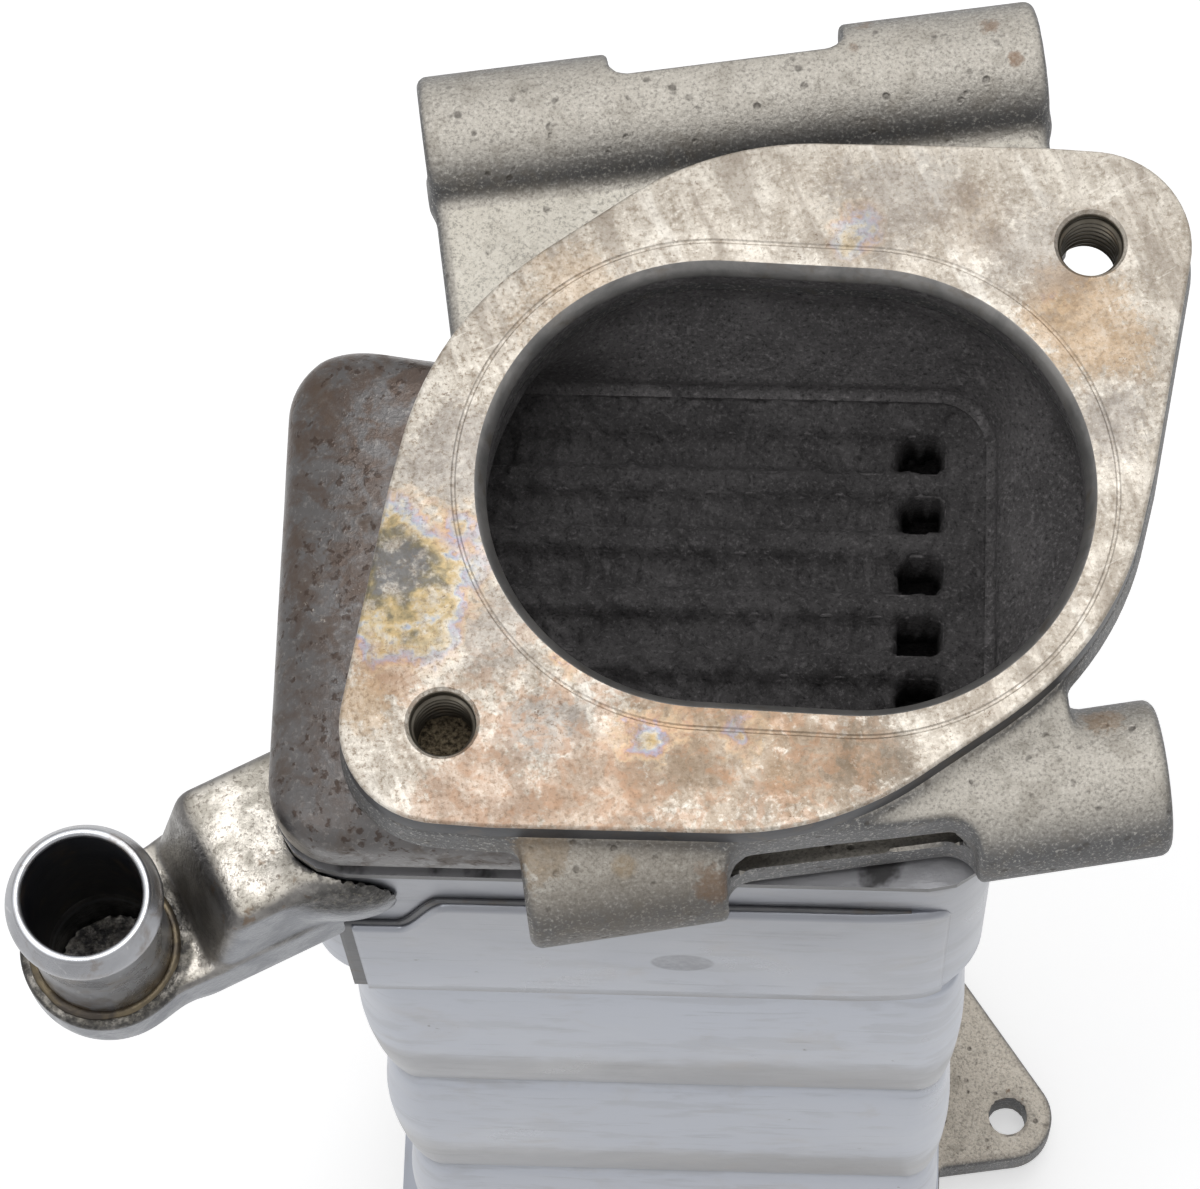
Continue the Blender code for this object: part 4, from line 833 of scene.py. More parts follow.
def dirt_material(looks):
    """Brown sand and rust scale lying in a bolt hole."""
    p = Paint("hole_dirt", 0.0, 0.9, 0.2)
    grain = p.noise(1400.0, 4.0, 0.75)
    p.base = p.blend(p.between(grain, 0.36, 0.66), (0.035, 0.026, 0.016), (0.30, 0.24, 0.155))
    return p.done(grain, 0.0006, 1.0)


def soot_material(looks, name="soot", shade=1.0):
    """Dry soot: granular, matte, with lumps, paler dust and painted glints on a few grains."""
    p = Paint(name, 0.0, 0.88, 0.25)
    color = shaded(looks.soot_color, shade)
    ridges, grains = p.noise(420.0, 6.0, 0.6, 0.8), p.noise(1900.0, 4.0, 0.75)
    p.base = p.blend(p.stain(120.0, 0.42, 0.2), color, shaded(color, 1.7))
    p.fade(ridges, 0.56, 0.76, 1.0, shaded(color, 2.4))
    # painted glints: a few grains laid much paler
    p.fade(grains, 0.52, 0.70, 0.7, shaded(color, 3.4))
    p.fade(grains, 0.46, 0.34, 0.8, shaded(color, 0.3))
    return p.done(p.plus(p.times(grains, 0.5), ridges), 0.0007, 0.9)


def crust_material(looks):
    return soot_material(looks, "soot_crust", 0.66)


def tank_material(looks):
    """Drawn tank: dark satin with brown mottling near its casting, specks and scale."""
    p = Paint("drawn_tank", 0.65, 0.34)
    cloud, grain = p.stain(55.0, 0.5, 0.25), p.noise(1300.0, 3.0, 0.7)
    p.base = p.blend(cloud, tuple(looks.tank_color), shaded(looks.tank_color, 1.5))
    p.fade(grain, 0.52, 0.70, 0.35, (0.33, 0.31, 0.29))
    for place, reach, depth in (((-40.0, 14.0, -12.0), 20.0, 0.8),
                                ((-43.0, -12.0, -12.0), 17.0, 0.6),
                                ((-38.0, 30.0, -14.0), 14.0, 0.6)):
        blot = p.times(p.patch(spot(*place), reach, 0.6), p.stain(330.0, 0.52, 0.1))
        p.lay(blot, (0.085, 0.058, 0.044), depth)
    brown, specks = p.stain(160.0, 0.30, 0.08), p.specks(600.0, 0.95, 0.38)
    p.lay(brown, (0.10, 0.07, 0.05), 0.5)
    p.lay(specks, (0.045, 0.028, 0.02), 0.8)
    p.lay(p.specks(900.0, 0.35, 0.25), (0.42, 0.38, 0.33), 0.5)
    return p.done(p.plus(grain, p.times(specks, 0.6)), 0.00010, 0.7,
                  p.plus(p.between(cloud, 0, 1, 0.28, 0.40), p.times(brown, 0.25)))


def shell_material(looks):
    """Furnace-brazed stainless: pale blue grey, with painted shade where a rib turns under, darker
    towards the tank, with level streaks, scuffs and faint brown smears."""
    p = Paint("stainless_shell", 0.75, 0.3)
    cloud, z, streak = p.stain(40.0, 0.5, 0.3), p.axis("Z"), p.streaks(520.0, 0.10, 0.42)
    p.base = p.blend(cloud, shaded(looks.shell_color, 0.95), shaded(looks.shell_color, 1.12))
    p.fade(z, 0.240, 0.300, 0.62, (0.19, 0.19, 0.205))
    # painted shade: the ribs' faces that turn under are laid darker
    turned = p.plus(p.upright(), p.times(p.less(p.noise(140.0), 0.5), 0.035))
    ribs = p.times(p.between(z, 0.253, 0.250), p.between(z, 0.077, 0.080))
    p.lay(p.times(ribs, p.between(turned, -0.010, -0.042, 0.0, 0.72)), (0.225, 0.220, 0.222))
    p.lay(p.streaks(210.0, 0.35, 0.62), (0.20, 0.195, 0.195), 0.20)
    p.lay(p.stain(90.0, 0.22, 0.12), (0.30, 0.26, 0.22), 0.30)
    p.lay(streak, (0.22, 0.225, 0.24), 0.34)
    p.lay(p.streaks(1100.0, 0.22, 0.20), (0.10, 0.105, 0.13), 0.5)
    p.lay(p.patch(spot(2.9, -32.7, -61.7), 4.0, 0.04, 0.07), (0.15, 0.155, 0.175), 0.8)
    p.lay(p.specks(420.0, 0.25, 0.18), (0.10, 0.08, 0.07), 0.7)
    return p.done(p.plus(p.noise(180.0, 4.0), p.times(streak, 0.3)), 0.00014, 0.5,
                  p.between(cloud, 0, 1, 0.26, 0.38))


def elbow_material(looks):
    """Cast elbow: bright mottled metal on top, painted shade on its sloping bevels, painted blue
    grey shade down its sides and under it, painted near-black shade in the well under the
    spigot, and gritty black where it meets the collar and round the spigot's foot."""
    p = Paint("cast_elbow", 0.75, 0.32)
    mottle, grain = p.stain(230.0, 0.5, 0.14), p.effect("Cast Grain", Scale=1300.0, Pits=0.5)
    up, fine = p.upright(), p.noise(1500.0, 3.0, 0.7)
    p.base = p.blend(mottle, tuple(looks.elbow_color), (0.66, 0.62, 0.56))
    p.fade(fine, 0.48, 0.36, 0.6, (0.12, 0.10, 0.08))
    # painted shade on the sloping bevels, its tone varied by noise
    bevel_shade = p.blend(p.between(p.noise(160.0, 3.0, 0.55), 0.38, 0.64), (0.12, 0.116, 0.117),
                   (0.27, 0.26, 0.25))
    p.fade(up, 0.97, 0.72, 0.85, bevel_shade)
    # painted shade: blue grey down the sides and under the elbow
    p.fade(up, 0.30, 0.05, 0.9, (0.24, 0.25, 0.275))
    p.lay(p.specks(420.0, 0.6, 0.3), (0.16, 0.10, 0.055), 0.6)
    joint = p.most(p.patch(spot(-37.5, -35.5, -37.0), 9.5, 0.25, 0.15),
                   p.patch(spot(-47.5, -32.0, -41.0), 5.5, 0.4, 0.2))
    foot = p.times(p.height_band(TOP + ELBOW_TOP, 0.9, 0.3),
                   p.patch(spot(SPIGOT_X, SPIGOT_Y, ELBOW_TOP), 11.2, 0.10, 0.04))
    gritty = p.blend(p.between(fine, 0.52, 0.70), (0.03, 0.029, 0.028), (0.13, 0.12, 0.10))
    p.lay(p.most(p.times(p.between(up, -0.05, 0.2), joint), foot), gritty, 0.93)
    # painted shade: near black in the well under the spigot, with a lighter spot beside it
    well = p.patch(spot(SPIGOT_X, SPIGOT_Y, -57.0), 10.0, 0.02, 0.05)
    p.lay(p.times(well, p.between(up, -0.15, -0.02)), (0.02, 0.019, 0.02))
    ledge = p.patch(spot(SPIGOT_X + 3.0, SPIGOT_Y + 2.5, -57.0), 4.0, 0.05, 0.2)
    p.lay(ledge, (0.17, 0.155, 0.145), 0.3)
    return p.done(p.plus(grain["Height"], fine), 0.00016, 0.8, p.between(mottle, 0, 1, 0.44, 0.28))


def spigot_material(looks):
    """Plain steel tube: grey, painted shade where it faces down, a painted highlight on its rim,
    scratches, brown streaks and a stained foot.
    """
    p = Paint("spigot_steel", 0.8, 0.32)
    cloud, up, rough = p.stain(110.0, 0.5, 0.2), p.upright(), p.noise(330.0, 5.0, 0.7)
    lines = p.effect("Scratches", Angle=0.9, Scale=1300.0, Stretch=0.15)
    p.base = p.blend(cloud, shaded(looks.spigot_color, 0.8), shaded(looks.spigot_color, 1.15))
    # painted shade: darker where the surface faces down
    p.fade(up, 0.10, -0.2, 0.6, (0.12, 0.125, 0.14))
    # painted highlight: pale where the surface faces up, along the rim
    p.fade(up, 0.86, 0.97, 0.8, (0.78, 0.80, 0.84))
    p.lay(lines["Lines"], (0.70, 0.70, 0.70), 0.35)
    p.lay(p.stain(260.0, 0.30, 0.08), (0.17, 0.125, 0.085), 0.5)
    foot = p.times(p.between(p.axis("Z"), 0.293, 0.285), p.between(rough, 0.38, 0.60))
    p.lay(foot, (0.15, 0.115, 0.08))
    return p.done(p.plus(lines["Brushed"], rough), 0.00006, 0.6,
                  p.between(cloud, 0, 1, 0.24, 0.36))


def braze_material(looks):
    """Brazed fillet: golden brown, glossy and uneven."""
    p = Paint("braze", 0.7, 0.35)
    p.base = p.blend(p.stain(240.0, 0.5, 0.15), tuple(looks.braze_color), (0.06, 0.05, 0.042))
    return p.done(p.noise(500.0, 3.0), 0.0003, 0.6)


MATERIAL_MAKERS = {"cast": cast_material, "face": face_material, "soot": soot_material,
                   "tank": tank_material, "shell": shell_material, "elbow": elbow_material,
                   "spigot": spigot_material, "braze": braze_material, "crust": crust_material,
                   "dirt": dirt_material, "header": header_material}
MATERIALS = {}


def finish(name):
    """A finish by name, made when first asked for."""
    if name not in MATERIALS:
        MATERIALS[name] = (steel_material(*STEELS[name]) if name in STEELS
                           else MATERIAL_MAKERS[name](bpy.context.scene.cooler_looks))
    return MATERIALS[name]


# ---------------------------------------------------------------- castings
BAND_LOOKS = ("face", "side", "soot", "chamfer", "cast")


def array_mesh(name, points, faces):
    mesh = bpy.data.meshes.new(name)
    mesh.from_pydata(points.tolist(), [], faces)
    return mesh


def linked(name, mesh):
    piece = bpy.data.objects.new(name, mesh)
    bpy.context.scene.collection.objects.link(piece)
    return piece


def hole_tool(x, y, seat):
    """Solid of a chamfered bolt hole, standing a little out of the face."""
    angle = around(64)
    circle = np.stack([np.cos(angle), np.sin(angle)], axis=1)
    rows = [(0.6, BOLT_RADIUS + BOLT_CHAMFER + 0.6), (-BOLT_CHAMFER, BOLT_RADIUS),
            (-FLANGE_DEPTH, BOLT_RADIUS)]
    rings = np.concatenate([level(circle * r + (x, y), z) for z, r in rows])
    caps = [list(range(64))[::-1], list(range(128, 192))]
    mesh = array_mesh("tool", to_world(rings, seat, seat["flip"]),
                      grid_faces(len(rows), 64).tolist() + caps)
    work = bmesh.new()
    work.from_mesh(mesh)
    bmesh.ops.recalc_face_normals(work, faces=work.faces)
    work.to_mesh(mesh)
    work.free()
    return linked("tool", mesh)


def flange_band(seat):
    """Crisp machined band: outline and port rings joined over the face and under the band, its
    bolt holes cut with exact Booleans."""
    depth, angles = FLANGE_BAND + 0.2, around(320)
    port = ((-depth, -0.5), (-1.9, -0.5), (-1.7, -0.42), (-0.12, 0.62), (0.0, 0.80),
            (0.0, 3.0), (-0.14, 3.2), (-0.14, 3.45), (0.0, 3.65))
    edge = ((0.0, -0.45), (-0.06, -0.2), (-0.2, -0.06), (-0.45, 0.0), (-depth, 0.0))
    rows = ([level(port_outline(seat, grow, angles), z) for z, grow in port]
            + [level(flange_outline(grow, angles), z) for z, grow in edge])
    points, faces = ring_solid(rows, seat, seat["flip"])
    row = np.arange(len(faces)) // len(angles)
    looks = np.zeros(len(faces), np.int32)
    looks[row < 1] = BAND_LOOKS.index("soot")
    looks[(row >= 1) & (row <= 3)] = BAND_LOOKS.index("chamfer")
    # painted shade: the band's side and underside take the near black side finish
    looks[row >= len(rows) - 2] = BAND_LOOKS.index("side")
    mesh = array_mesh("band", points, faces.tolist())
    for name in BAND_LOOKS[:-1]:
        mesh.materials.append(finish(name))
    mesh.polygons.foreach_set("material_index", looks)
    band = linked("band", mesh)
    tools = [hole_tool(x, y, seat) for x, y in BOLT_SPOTS]
    for tool in tools:
        modifier = band.modifiers.new("Hole", "BOOLEAN")
        modifier.object, modifier.operation, modifier.solver = tool, "DIFFERENCE", "EXACT"
    bpy.context.view_layer.update()
    graph = bpy.context.evaluated_depsgraph_get()
    result = bpy.data.meshes.new_from_object(band.evaluated_get(graph))
    for piece in tools + [band]:
        old = piece.data
        bpy.data.objects.remove(piece)
        bpy.data.meshes.remove(old)
    return result


def make_casting(seat, end, field, low, high, step):
    """The crisp band and the cast skin of a field in one mesh, the skin in the last finish."""
    band = flange_band(seat)
    points, faces = skin(field, low, high, step)
    points, faces = outward(to_world(points, seat, seat["flip"]), faces)
    body = array_mesh("skin", points, faces.tolist())
    work = bmesh.new()
    work.from_mesh(band)
    before = len(work.faces)
    work.from_mesh(body)
    work.faces.ensure_lookup_table()
    for face in work.faces[before:]:
        face.material_index = len(BAND_LOOKS) - 1
    mesh = bpy.data.meshes.new(end + "_casting_skin")
    work.to_mesh(mesh)
    work.free()
    bpy.data.meshes.remove(band)
    bpy.data.meshes.remove(body)
    finish_piece(end + "_casting_skin", mesh, finish(BAND_LOOKS[0]), [end + "_casting"],
                 33)
    for name in BAND_LOOKS[1:]:
        mesh.materials.append(finish(name))


def flange_field(x, y, z):
    """Flange under its band, drafted in towards its foot."""
    draft = DRAFT * np.clip(-(z + FLANGE_BAND) / DRAFT_FALL, 0, 1)
    return prism(flange_distance(x, y) - draft - 0.03, z, -FLANGE_DEPTH, -FLANGE_BAND + 0.05, 0.8)


def less_holes(body, seat, x, y, z):
    """A casting's field less its bolt holes and the tank's room."""
    for px, py in BOLT_SPOTS:
        body = np.maximum(body, BOLT_RADIUS - np.hypot(x - px, y - py))
    return np.maximum(body, -tank_room(seat, x, y, z))


def inlet_body(fillet):
    """Field of the cast part: flange under its band, rear bar on its web, front bar on its web,
    all blended, less the port, bores, waists, bolt holes and the tank's room."""
    rear_y, rear_z = REAR_BAR[0][1:]
    front_x, front_y, front_z = FRONT_BAR[0]

    def field(x, y, z):
        rear = rod(x, y, z, REAR_BAR, REAR_RADIUS, 1.3)
        rear_web = prism(slab(x, y, (-37.5, 20.0), (38.9, 53.7), 1.0), z, -15.0, -8.5, 1.9)
        front = rod(x, y, z, FRONT_BAR, FRONT_RADIUS, 1.5)
        front_web = prism(slab(x, y, (-36.6, -38.0), (30.0, -27.0), 2.0), z, -15.2, -5.8, 1.2)
        body = soft_min(soft_min(flange_field(x, y, z), rear_web, fillet), rear, fillet)
        body = soft_min(body, soft_min(front, front_web, fillet), fillet)
        waist = slab(x, y, (-14.0, rear_y + REAR_RADIUS - 5.5), (15.0, 90.0), 2.4)
        window = slab(x, y, (-13.0, -80.0), (17.0, -41.7), 3.6)
        body = soft_max(soft_max(body, -waist, 0.8), -window, 1.0)
        share = (x - front_x) / FRONT_LENGTH
        bore = np.hypot(y - front_y - FRONT_RISE * share, z - front_z) - FRONT_BORE
        rear_bore = np.hypot(y - rear_y, z - rear_z) - REAR_BORE
        body = soft_max(body, -rear_bore, 0.7)
        body = soft_max(body, -np.maximum(bore, -16.0 - x), 0.7)
        port = port_distance(INLET, x, y) - np.where(z < -7.6, 1.9, 0.0)
        return less_holes(np.maximum(body, -port), INLET, x, y, z)
    return field


def outlet_body(fillet):
    """Field of the outlet casting: flange over its band and the ear, less port and holes."""
    co, so = math.cos(OUTLET["clock"]), math.sin(OUTLET["clock"])
    ci, si = math.cos(INLET["clock"]), math.sin(INLET["clock"])

    def field(x, y, z):
        bx = co * x - so * y + OUTLET["x"] - INLET["x"]
        by = so * x + co * y + OUTLET["y"] - INLET["y"]
        u, v = ci * bx + si * by, -si * bx + ci * by
        ear = prism(ear_distance(u, v), z, -9.4, -0.3, 1.4)
        body = soft_min(flange_field(x, y, z), ear, fillet)
        body = np.maximum(body, -port_distance(OUTLET, x, y))
        body = soft_max(body, EAR_HOLE - np.hypot(u - EAR_X, v - EAR_Y), 0.6)
        return less_holes(body, OUTLET, x, y, z)
    return field


def ear_distance(u, v):
    """Flat distance to the ear: the corner where a straight front edge meets a leaning back
    edge at the hole's middle, grown to a nose arc, and cut off at the ear's root."""
    across = math.cos(EAR_LEAN)
    front = -(v - EAR_Y)
    behind = (u - EAR_X) * math.sin(EAR_LEAN) - (v - EAR_Y) * across
    along = (behind - across * front) / math.sqrt(1 - across ** 2)
    only_front = (front > 0) & (behind < across * front)
    only_back = (behind > 0) & (front < across * behind)
    nose = np.where(only_front, front, np.where(only_back, behind, np.hypot(front, along)))
    nose = np.where((front > 0) | (behind > 0), nose, np.maximum(front, behind))
    return np.maximum(nose - EAR_RADIUS, np.maximum(-u, v - 32.0))


class COOLER_OT_stage(bpy.types.Operator):
    """Lay the pale floor, hang the soft lights and place the camera"""
    bl_idname = "cooler.stage"
    bl_label = "Stage"

    def execute(self, context):
        scene = context.scene
        scene.view_settings.view_transform = "Standard"
        mesh = bpy.data.meshes.new("floor")
        mesh.from_pydata([(-6, -6, 0), (6, -6, 0), (6, 6, 0), (-6, 6, 0)], [], [(0, 1, 2, 3)])
        floor = linked("floor", mesh)
        p = Paint("pale_floor", 0.0, 0.9, 0.1)
        p.put(p.shader["Base Color"], (0.86, 0.86, 0.86))
        glow = p.node("Emission", Color=(1, 1, 1), Strength=p.times(p.seen(), 0.52))
        shown = p.node("AddShader", i0=p.tree.nodes["Principled BSDF"].outputs[0],
                       i1=glow.outputs[0])
        p.put(p.tree.nodes["Material Output"].inputs["Surface"], shown.outputs[0])
        mesh.materials.append(p.material)
        world = bpy.data.worlds.new("soft_room")
        scene.world = world
        world.use_nodes = True
        g = Graph(world.node_tree, None)
        back = g.tree.nodes["Background"].inputs
        g.put(back["Color"], (1, 1, 1))
        g.put(back["Strength"], g.plus(g.times(g.seen(), 0.65), 0.35))
        for name, at, size, power in (("top", (0.0, 0.15, 1.5), 0.7, 5.0),
                                      ("key", (-0.7, -0.5, 1.1), 0.6, 1.6),
                                      ("rear", (0.3, 0.9, 1.0), 0.6, 1.4)):
            data = bpy.data.lights.new(name, "AREA")
            data.shape, data.size, data.energy = "SQUARE", size, power
            aim = Vector((0.0, 0.0, 0.28)) - Vector(at)
            turn = aim.to_track_quat("-Z", "Y").to_matrix().to_4x4()
            linked(name, data).matrix_world = Matrix.Translation(at) @ turn
        data = bpy.data.cameras.new("camera")
        data.lens, data.sensor_width, data.sensor_fit = 156.0, 36.0, "HORIZONTAL"
        right = Vector((0.999, 0.034, -0.0294)).normalized()
        down = Vector((0.023, -0.9482, -0.3169))
        down = (down - right * down.dot(right)).normalized()
        turn = Matrix((right, -down, -right.cross(down))).transposed().to_4x4()
        at = Vector((17.0 + BODY_X, -198.3 + BODY_Y, 913.4)) * 0.001
        scene.camera = linked("camera", data)
        scene.camera.matrix_world = Matrix.Translation(at) @ turn
        return {"FINISHED"}


class COOLER_OT_inlet_casting(bpy.types.Operator):
    """Cast the inlet flange with its bored bars and finish its sealing face"""
    bl_idname = "cooler.inlet_casting"
    bl_label = "Inlet casting"

    def execute(self, context):
        looks = context.scene.cooler_looks
        make_casting(INLET, "inlet", inlet_body(looks.cast_fillet * 1000), (-57, -51, -25.5),
                     (57, 65, 0.0), looks.skin_step * 1000)
        return {"FINISHED"}


class COOLER_OT_outlet_casting(bpy.types.Operator):
    """Cast the outlet flange with its ear"""
    bl_idname = "cooler.outlet_casting"
    bl_label = "Outlet casting"

    def execute(self, context):
        looks = context.scene.cooler_looks
        make_casting(OUTLET, "outlet", outlet_body(looks.cast_fillet * 1000), (-62, -64, -11),
                     (62, 64, 0.5), looks.skin_step * 1100)
        return {"FINISHED"}


class COOLER_OT_threads(bpy.types.Operator):
    """Cut the threads of the four flange bolt holes"""
    bl_idname = "cooler.threads"
    bl_label = "Bolt threads"

    def execute(self, context):
        pitch = context.scene.cooler_looks.thread_pitch * 1000
        for seat, end in ENDS:
            for number, (x, y) in enumerate(BOLT_SPOTS):
                make_piece("%s_thread_%d" % (end, number + 1), thread(x, y, pitch, seat),
                           "thread", angle=60)
        make_piece("bolt_hole_dirt", dirt_disc(*BOLT_SPOTS[1], -8.6, 3.9), "dirt", angle=80)
        return {"FINISHED"}


def thread(x, y, pitch, seat):
    """Threaded sleeve: a radius less a wave of the height over the pitch plus the turn, backed
    by a plain wall."""
    z, turn = np.linspace(THREAD_TOP, THREAD_FOOT, 90)[:, None], around(48)[None, :]
    wave = 0.5 - 0.5 * np.cos(TURN * (z / pitch + turn / TURN))
    fade = np.clip((-z + THREAD_TOP) / 1.2, 0, 1)
    radius = THREAD_RADIUS - THREAD_DEPTH * wave ** 1.3 * fade
    inner = np.stack([x + radius * np.cos(turn), y + radius * np.sin(turn),
                      np.broadcast_to(z, radius.shape)], axis=-1)
    outer = np.stack([x + THREAD_WALL * np.cos(turn[0]), y + THREAD_WALL * np.sin(turn[0])], -1)
    rings = [inner, level(outer, THREAD_FOOT)[None], level(outer, THREAD_TOP)[None]]
    return ring_solid(np.concatenate(rings), seat, seat["flip"])


def lumps(x, y, finest, coarsest, seed, waves=26):
    """Rolling lumps: sine waves, each in its own seeded direction, whose lengths run from the
    finest to the coarsest, added and divided by the root of their count."""
    dice = np.random.default_rng(seed)
    total = 0.0
    for length in np.geomspace(finest, coarsest, waves):
        turn, phase = dice.uniform(0, TURN, 2)
        along = x * math.cos(turn) + y * math.sin(turn)
        total = total + np.sin(along * TURN / length + phase)
    return total / math.sqrt(waves)


def dirt_disc(x, y, z, radius):
    """Heap in the hole: rings out to the wall, raised by lumps, on a flat underside."""
    turn = around(48)[None, :]
    reach = np.linspace(0.02, 1.0, 12)[:, None] * radius
    px, py = x + reach * np.cos(turn), y + reach * np.sin(turn)
    top = np.stack([px, py, z + 0.25 * lumps(px, py, 0.8, 4.0, 5)], axis=-1)
    under = np.stack([px, py, np.full_like(px, z - 0.9)], axis=-1)[::-1]
    return ring_solid(np.concatenate([top, under]), INLET)


def tank_rings(seat, inset):
    """Rings of the drawn tank at one skin: neck, shoulder, rim, lip and tucked foot."""
    away = (seat["x"], seat["y"])
    rim = tank_outline(seat, inset)
    angles = np.arctan2(rim[:, 1] - seat["y"], rim[:, 0] - seat["x"]) - seat["clock"]
    flat = port_outline(seat, TANK_WALL + inset, angles)
    c, s = math.cos(seat["clock"]), math.sin(seat["clock"])
    mouth = np.stack([seat["x"] + c * flat[:, 0] - s * flat[:, 1],
                      seat["y"] + s * flat[:, 0] + c * flat[:, 1]], axis=1)
    spread = np.hypot(*(rim - away).T) - np.hypot(*(mouth - away).T)
    top = TANK_TOP + inset * (0.15 + 0.85 * brow_share(spread))
    rows = [level(mouth, TANK_TOP + 2.2), np.column_stack([mouth, top + 0.2])]
    for share in np.linspace(0.0, 1.0, 18)[1:]:
        out, drop = shoulder(spread, share)
        rows.append(np.column_stack([mouth + (rim - mouth) * out[:, None], top - drop]))
    lip = TANK_TOP - TANK_LIP
    rows.append(level(rim, lip))
    for share in (0.3, 0.7, 1.0):
        tuck = TANK_TUCK * (1 - math.cos(share * math.pi / 2))
        rows.append(level(tank_outline(seat, inset - tuck),
                          lip - TANK_TUCK * math.sin(share * math.pi / 2)))
    rows.append(level(tank_outline(seat, inset - TANK_TUCK), TANK_TOP - TANK_DEPTH))
    return rows


class COOLER_OT_tanks(bpy.types.Operator):
    """Draw the two gas tanks, satin outside and sooty inside"""
    bl_idname = "cooler.tanks"
    bl_label = "Gas tanks"

    def execute(self, context):
        for seat, end in ENDS:
            outer = tank_rings(seat, 0.0)
            solid = ring_solid(outer + tank_rings(seat, -TANK_WALL)[::-1], None, seat["flip"])
            tank = make_piece(end + "_tank_skin", solid, "tank", [end + "_tank"], 60)
            second_look(tank, "soot", len(outer[0]), len(outer))
        return {"FINISHED"}


class COOLER_OT_core(bpy.types.Operator):
    """Round the gas tubes, and soot their fins and the header plates"""
    bl_idname = "cooler.core"
    bl_label = "Tubes and fins"

    def execute(self, context):
        for k in range(TUBE_COUNT):
            y = TUBE_STACK_Y + (k - (TUBE_COUNT - 1) / 2) * TUBE_PITCH
            name = "gas_tube_%d" % (k + 1)
            make_piece(name + "_skin", tube(y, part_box(name)), "soot", [name], 50)
            dress("gas_fin_%d" % (k + 1), "soot")
        dress("inlet_header_plate", "header")
        dress("outlet_header_plate", "soot")
        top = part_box("gas_tube_1")[1].z * 1000 - TOP
        crust = make_piece("soot_crust_skin", soot_crust(top), "crust", angle=80)
        add_wall(crust, 0.3, False)
        return {"FINISHED"}


def soot_crust(top):
    """Caked soot over the header and tube mouths: a height that rises between the tubes, is
    broken by lumps and by the fins' traces, climbs to the tank's wall, and drops into the open
    right end of each tube."""
    rim = tank_outline(INLET, -TANK_WALL - 0.05)
    x, y = np.meshgrid(np.linspace(-45.5, 41.0, 206), np.linspace(-31.0, 31.0, 148))
    limit, reach = outline_reach(rim, np.arctan2(y, x)), np.hypot(x, y)
    outside = reach > limit
    pull = np.where(outside, limit / np.maximum(reach, 1e-9), 1.0)
    x, y = x * pull, y * pull
    row = (y - TUBE_STACK_Y) / TUBE_PITCH + (TUBE_COUNT - 1) / 2
    near = np.clip(np.round(row), 0, TUBE_COUNT - 1)
    off = (row - near) * TUBE_PITCH
    mouth = (np.clip((TUBE_HALF_Y - np.abs(off)) / 1.4, 0, 1)
             * np.clip((TUBE_HALF_X - np.abs(x)) / 1.4, 0, 1))
    height = top + 0.75 + 0.42 * lumps(x, y, 1.5, 9.0, 11) - 1.8 * mouth
    height = height + mouth * 0.28 * np.cos(TURN * x / 2.3)
    height = height + 1.2 * np.exp(-(limit - np.hypot(x, y)) / 2.5)
    hole = slab(x, off, (29.0, -2.15), (34.2, 2.15), 1.3) + 0.22 * lumps(x, y, 1.0, 4.0, 3)
    opened = np.clip(0.5 - hole / 0.45, 0, 1) * (np.abs(row - near) < 0.45)
    points = to_world(np.stack([x, y, height - 6.5 * opened], axis=-1))
    faces = grid_faces(*x.shape, wrap_columns=False)
    keep = ~outside.ravel()[faces].all(axis=1) & ~(opened.ravel() > 0.9)[faces].all(axis=1)
    used, faces = np.unique(faces[keep], return_inverse=True)
    return points[used], faces.reshape(-1, 4)


def dress(name, look):
    """Give a carried-over node its finish."""
    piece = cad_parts[name]
    piece.data.materials.clear()
    piece.data.materials.append(finish(look))


def tube(y, limits):
    """Flat tube: outline outside and outline less its wall, with a rounded lip at the top."""
    low, high = limits[0].z * 1000 - TOP, limits[1].z * 1000 - TOP
    corners = box_corners(TUBE_HALF_X, TUBE_HALF_X, TUBE_HALF_Y, y)
    rows = ((0.0, low), (0.0, high - 0.25), (-0.08, high - 0.06), (-0.25, high),
            (-0.42, high - 0.06), (-TUBE_WALL, high - 0.25), (-TUBE_WALL, low))
    return ring_solid([level(rounded_outline(corners, [TUBE_CORNER] * 4, grow, 8, 6), z)
                       for grow, z in rows])


def shell_rings(front):
    """Sheet of one half: its section's reach grows from the groove's to the crown's with
    |sin(pi n)|^0.55 along the shell, n counting the ribs."""
    rings = []
    for share in np.linspace(0, 1, 1 + RIB_COUNT * 28):
        swell = abs(math.sin(math.pi * share * RIB_COUNT)) ** 0.55
        left, right = SHELL_HALF_X + RIB_LEFT * swell, SHELL_HALF_X + RIB_RIGHT * swell
        if not front:
            left, right = right, left
        half_y = SHELL_HALF_Y + RIB_FRONT * swell
        corner = SHELL_CORNER + (RIB_CORNER - SHELL_CORNER) * swell
        outline = box_outline(left, right, half_y, corner, 0.0, 10, 12)
        path = np.concatenate([[(-left, -0.15), (-left, -half_y / 2)],
                               outline[:len(outline) // 2 - 11],
                               [(right, -half_y / 2), (right, -0.15)]])
        rings.append(level(path if front else -path,
                           SHELL_TOP + (SHELL_FOOT - SHELL_TOP) * share))
    return np.array(rings)


def add_wall(piece, thickness, even=True):
    """Thicken a sheet inwards, by millimetres."""
    wall = piece.modifiers.new("Wall", "SOLIDIFY")
    wall.thickness, wall.offset, wall.use_even_offset = thickness * 0.001, -1, even


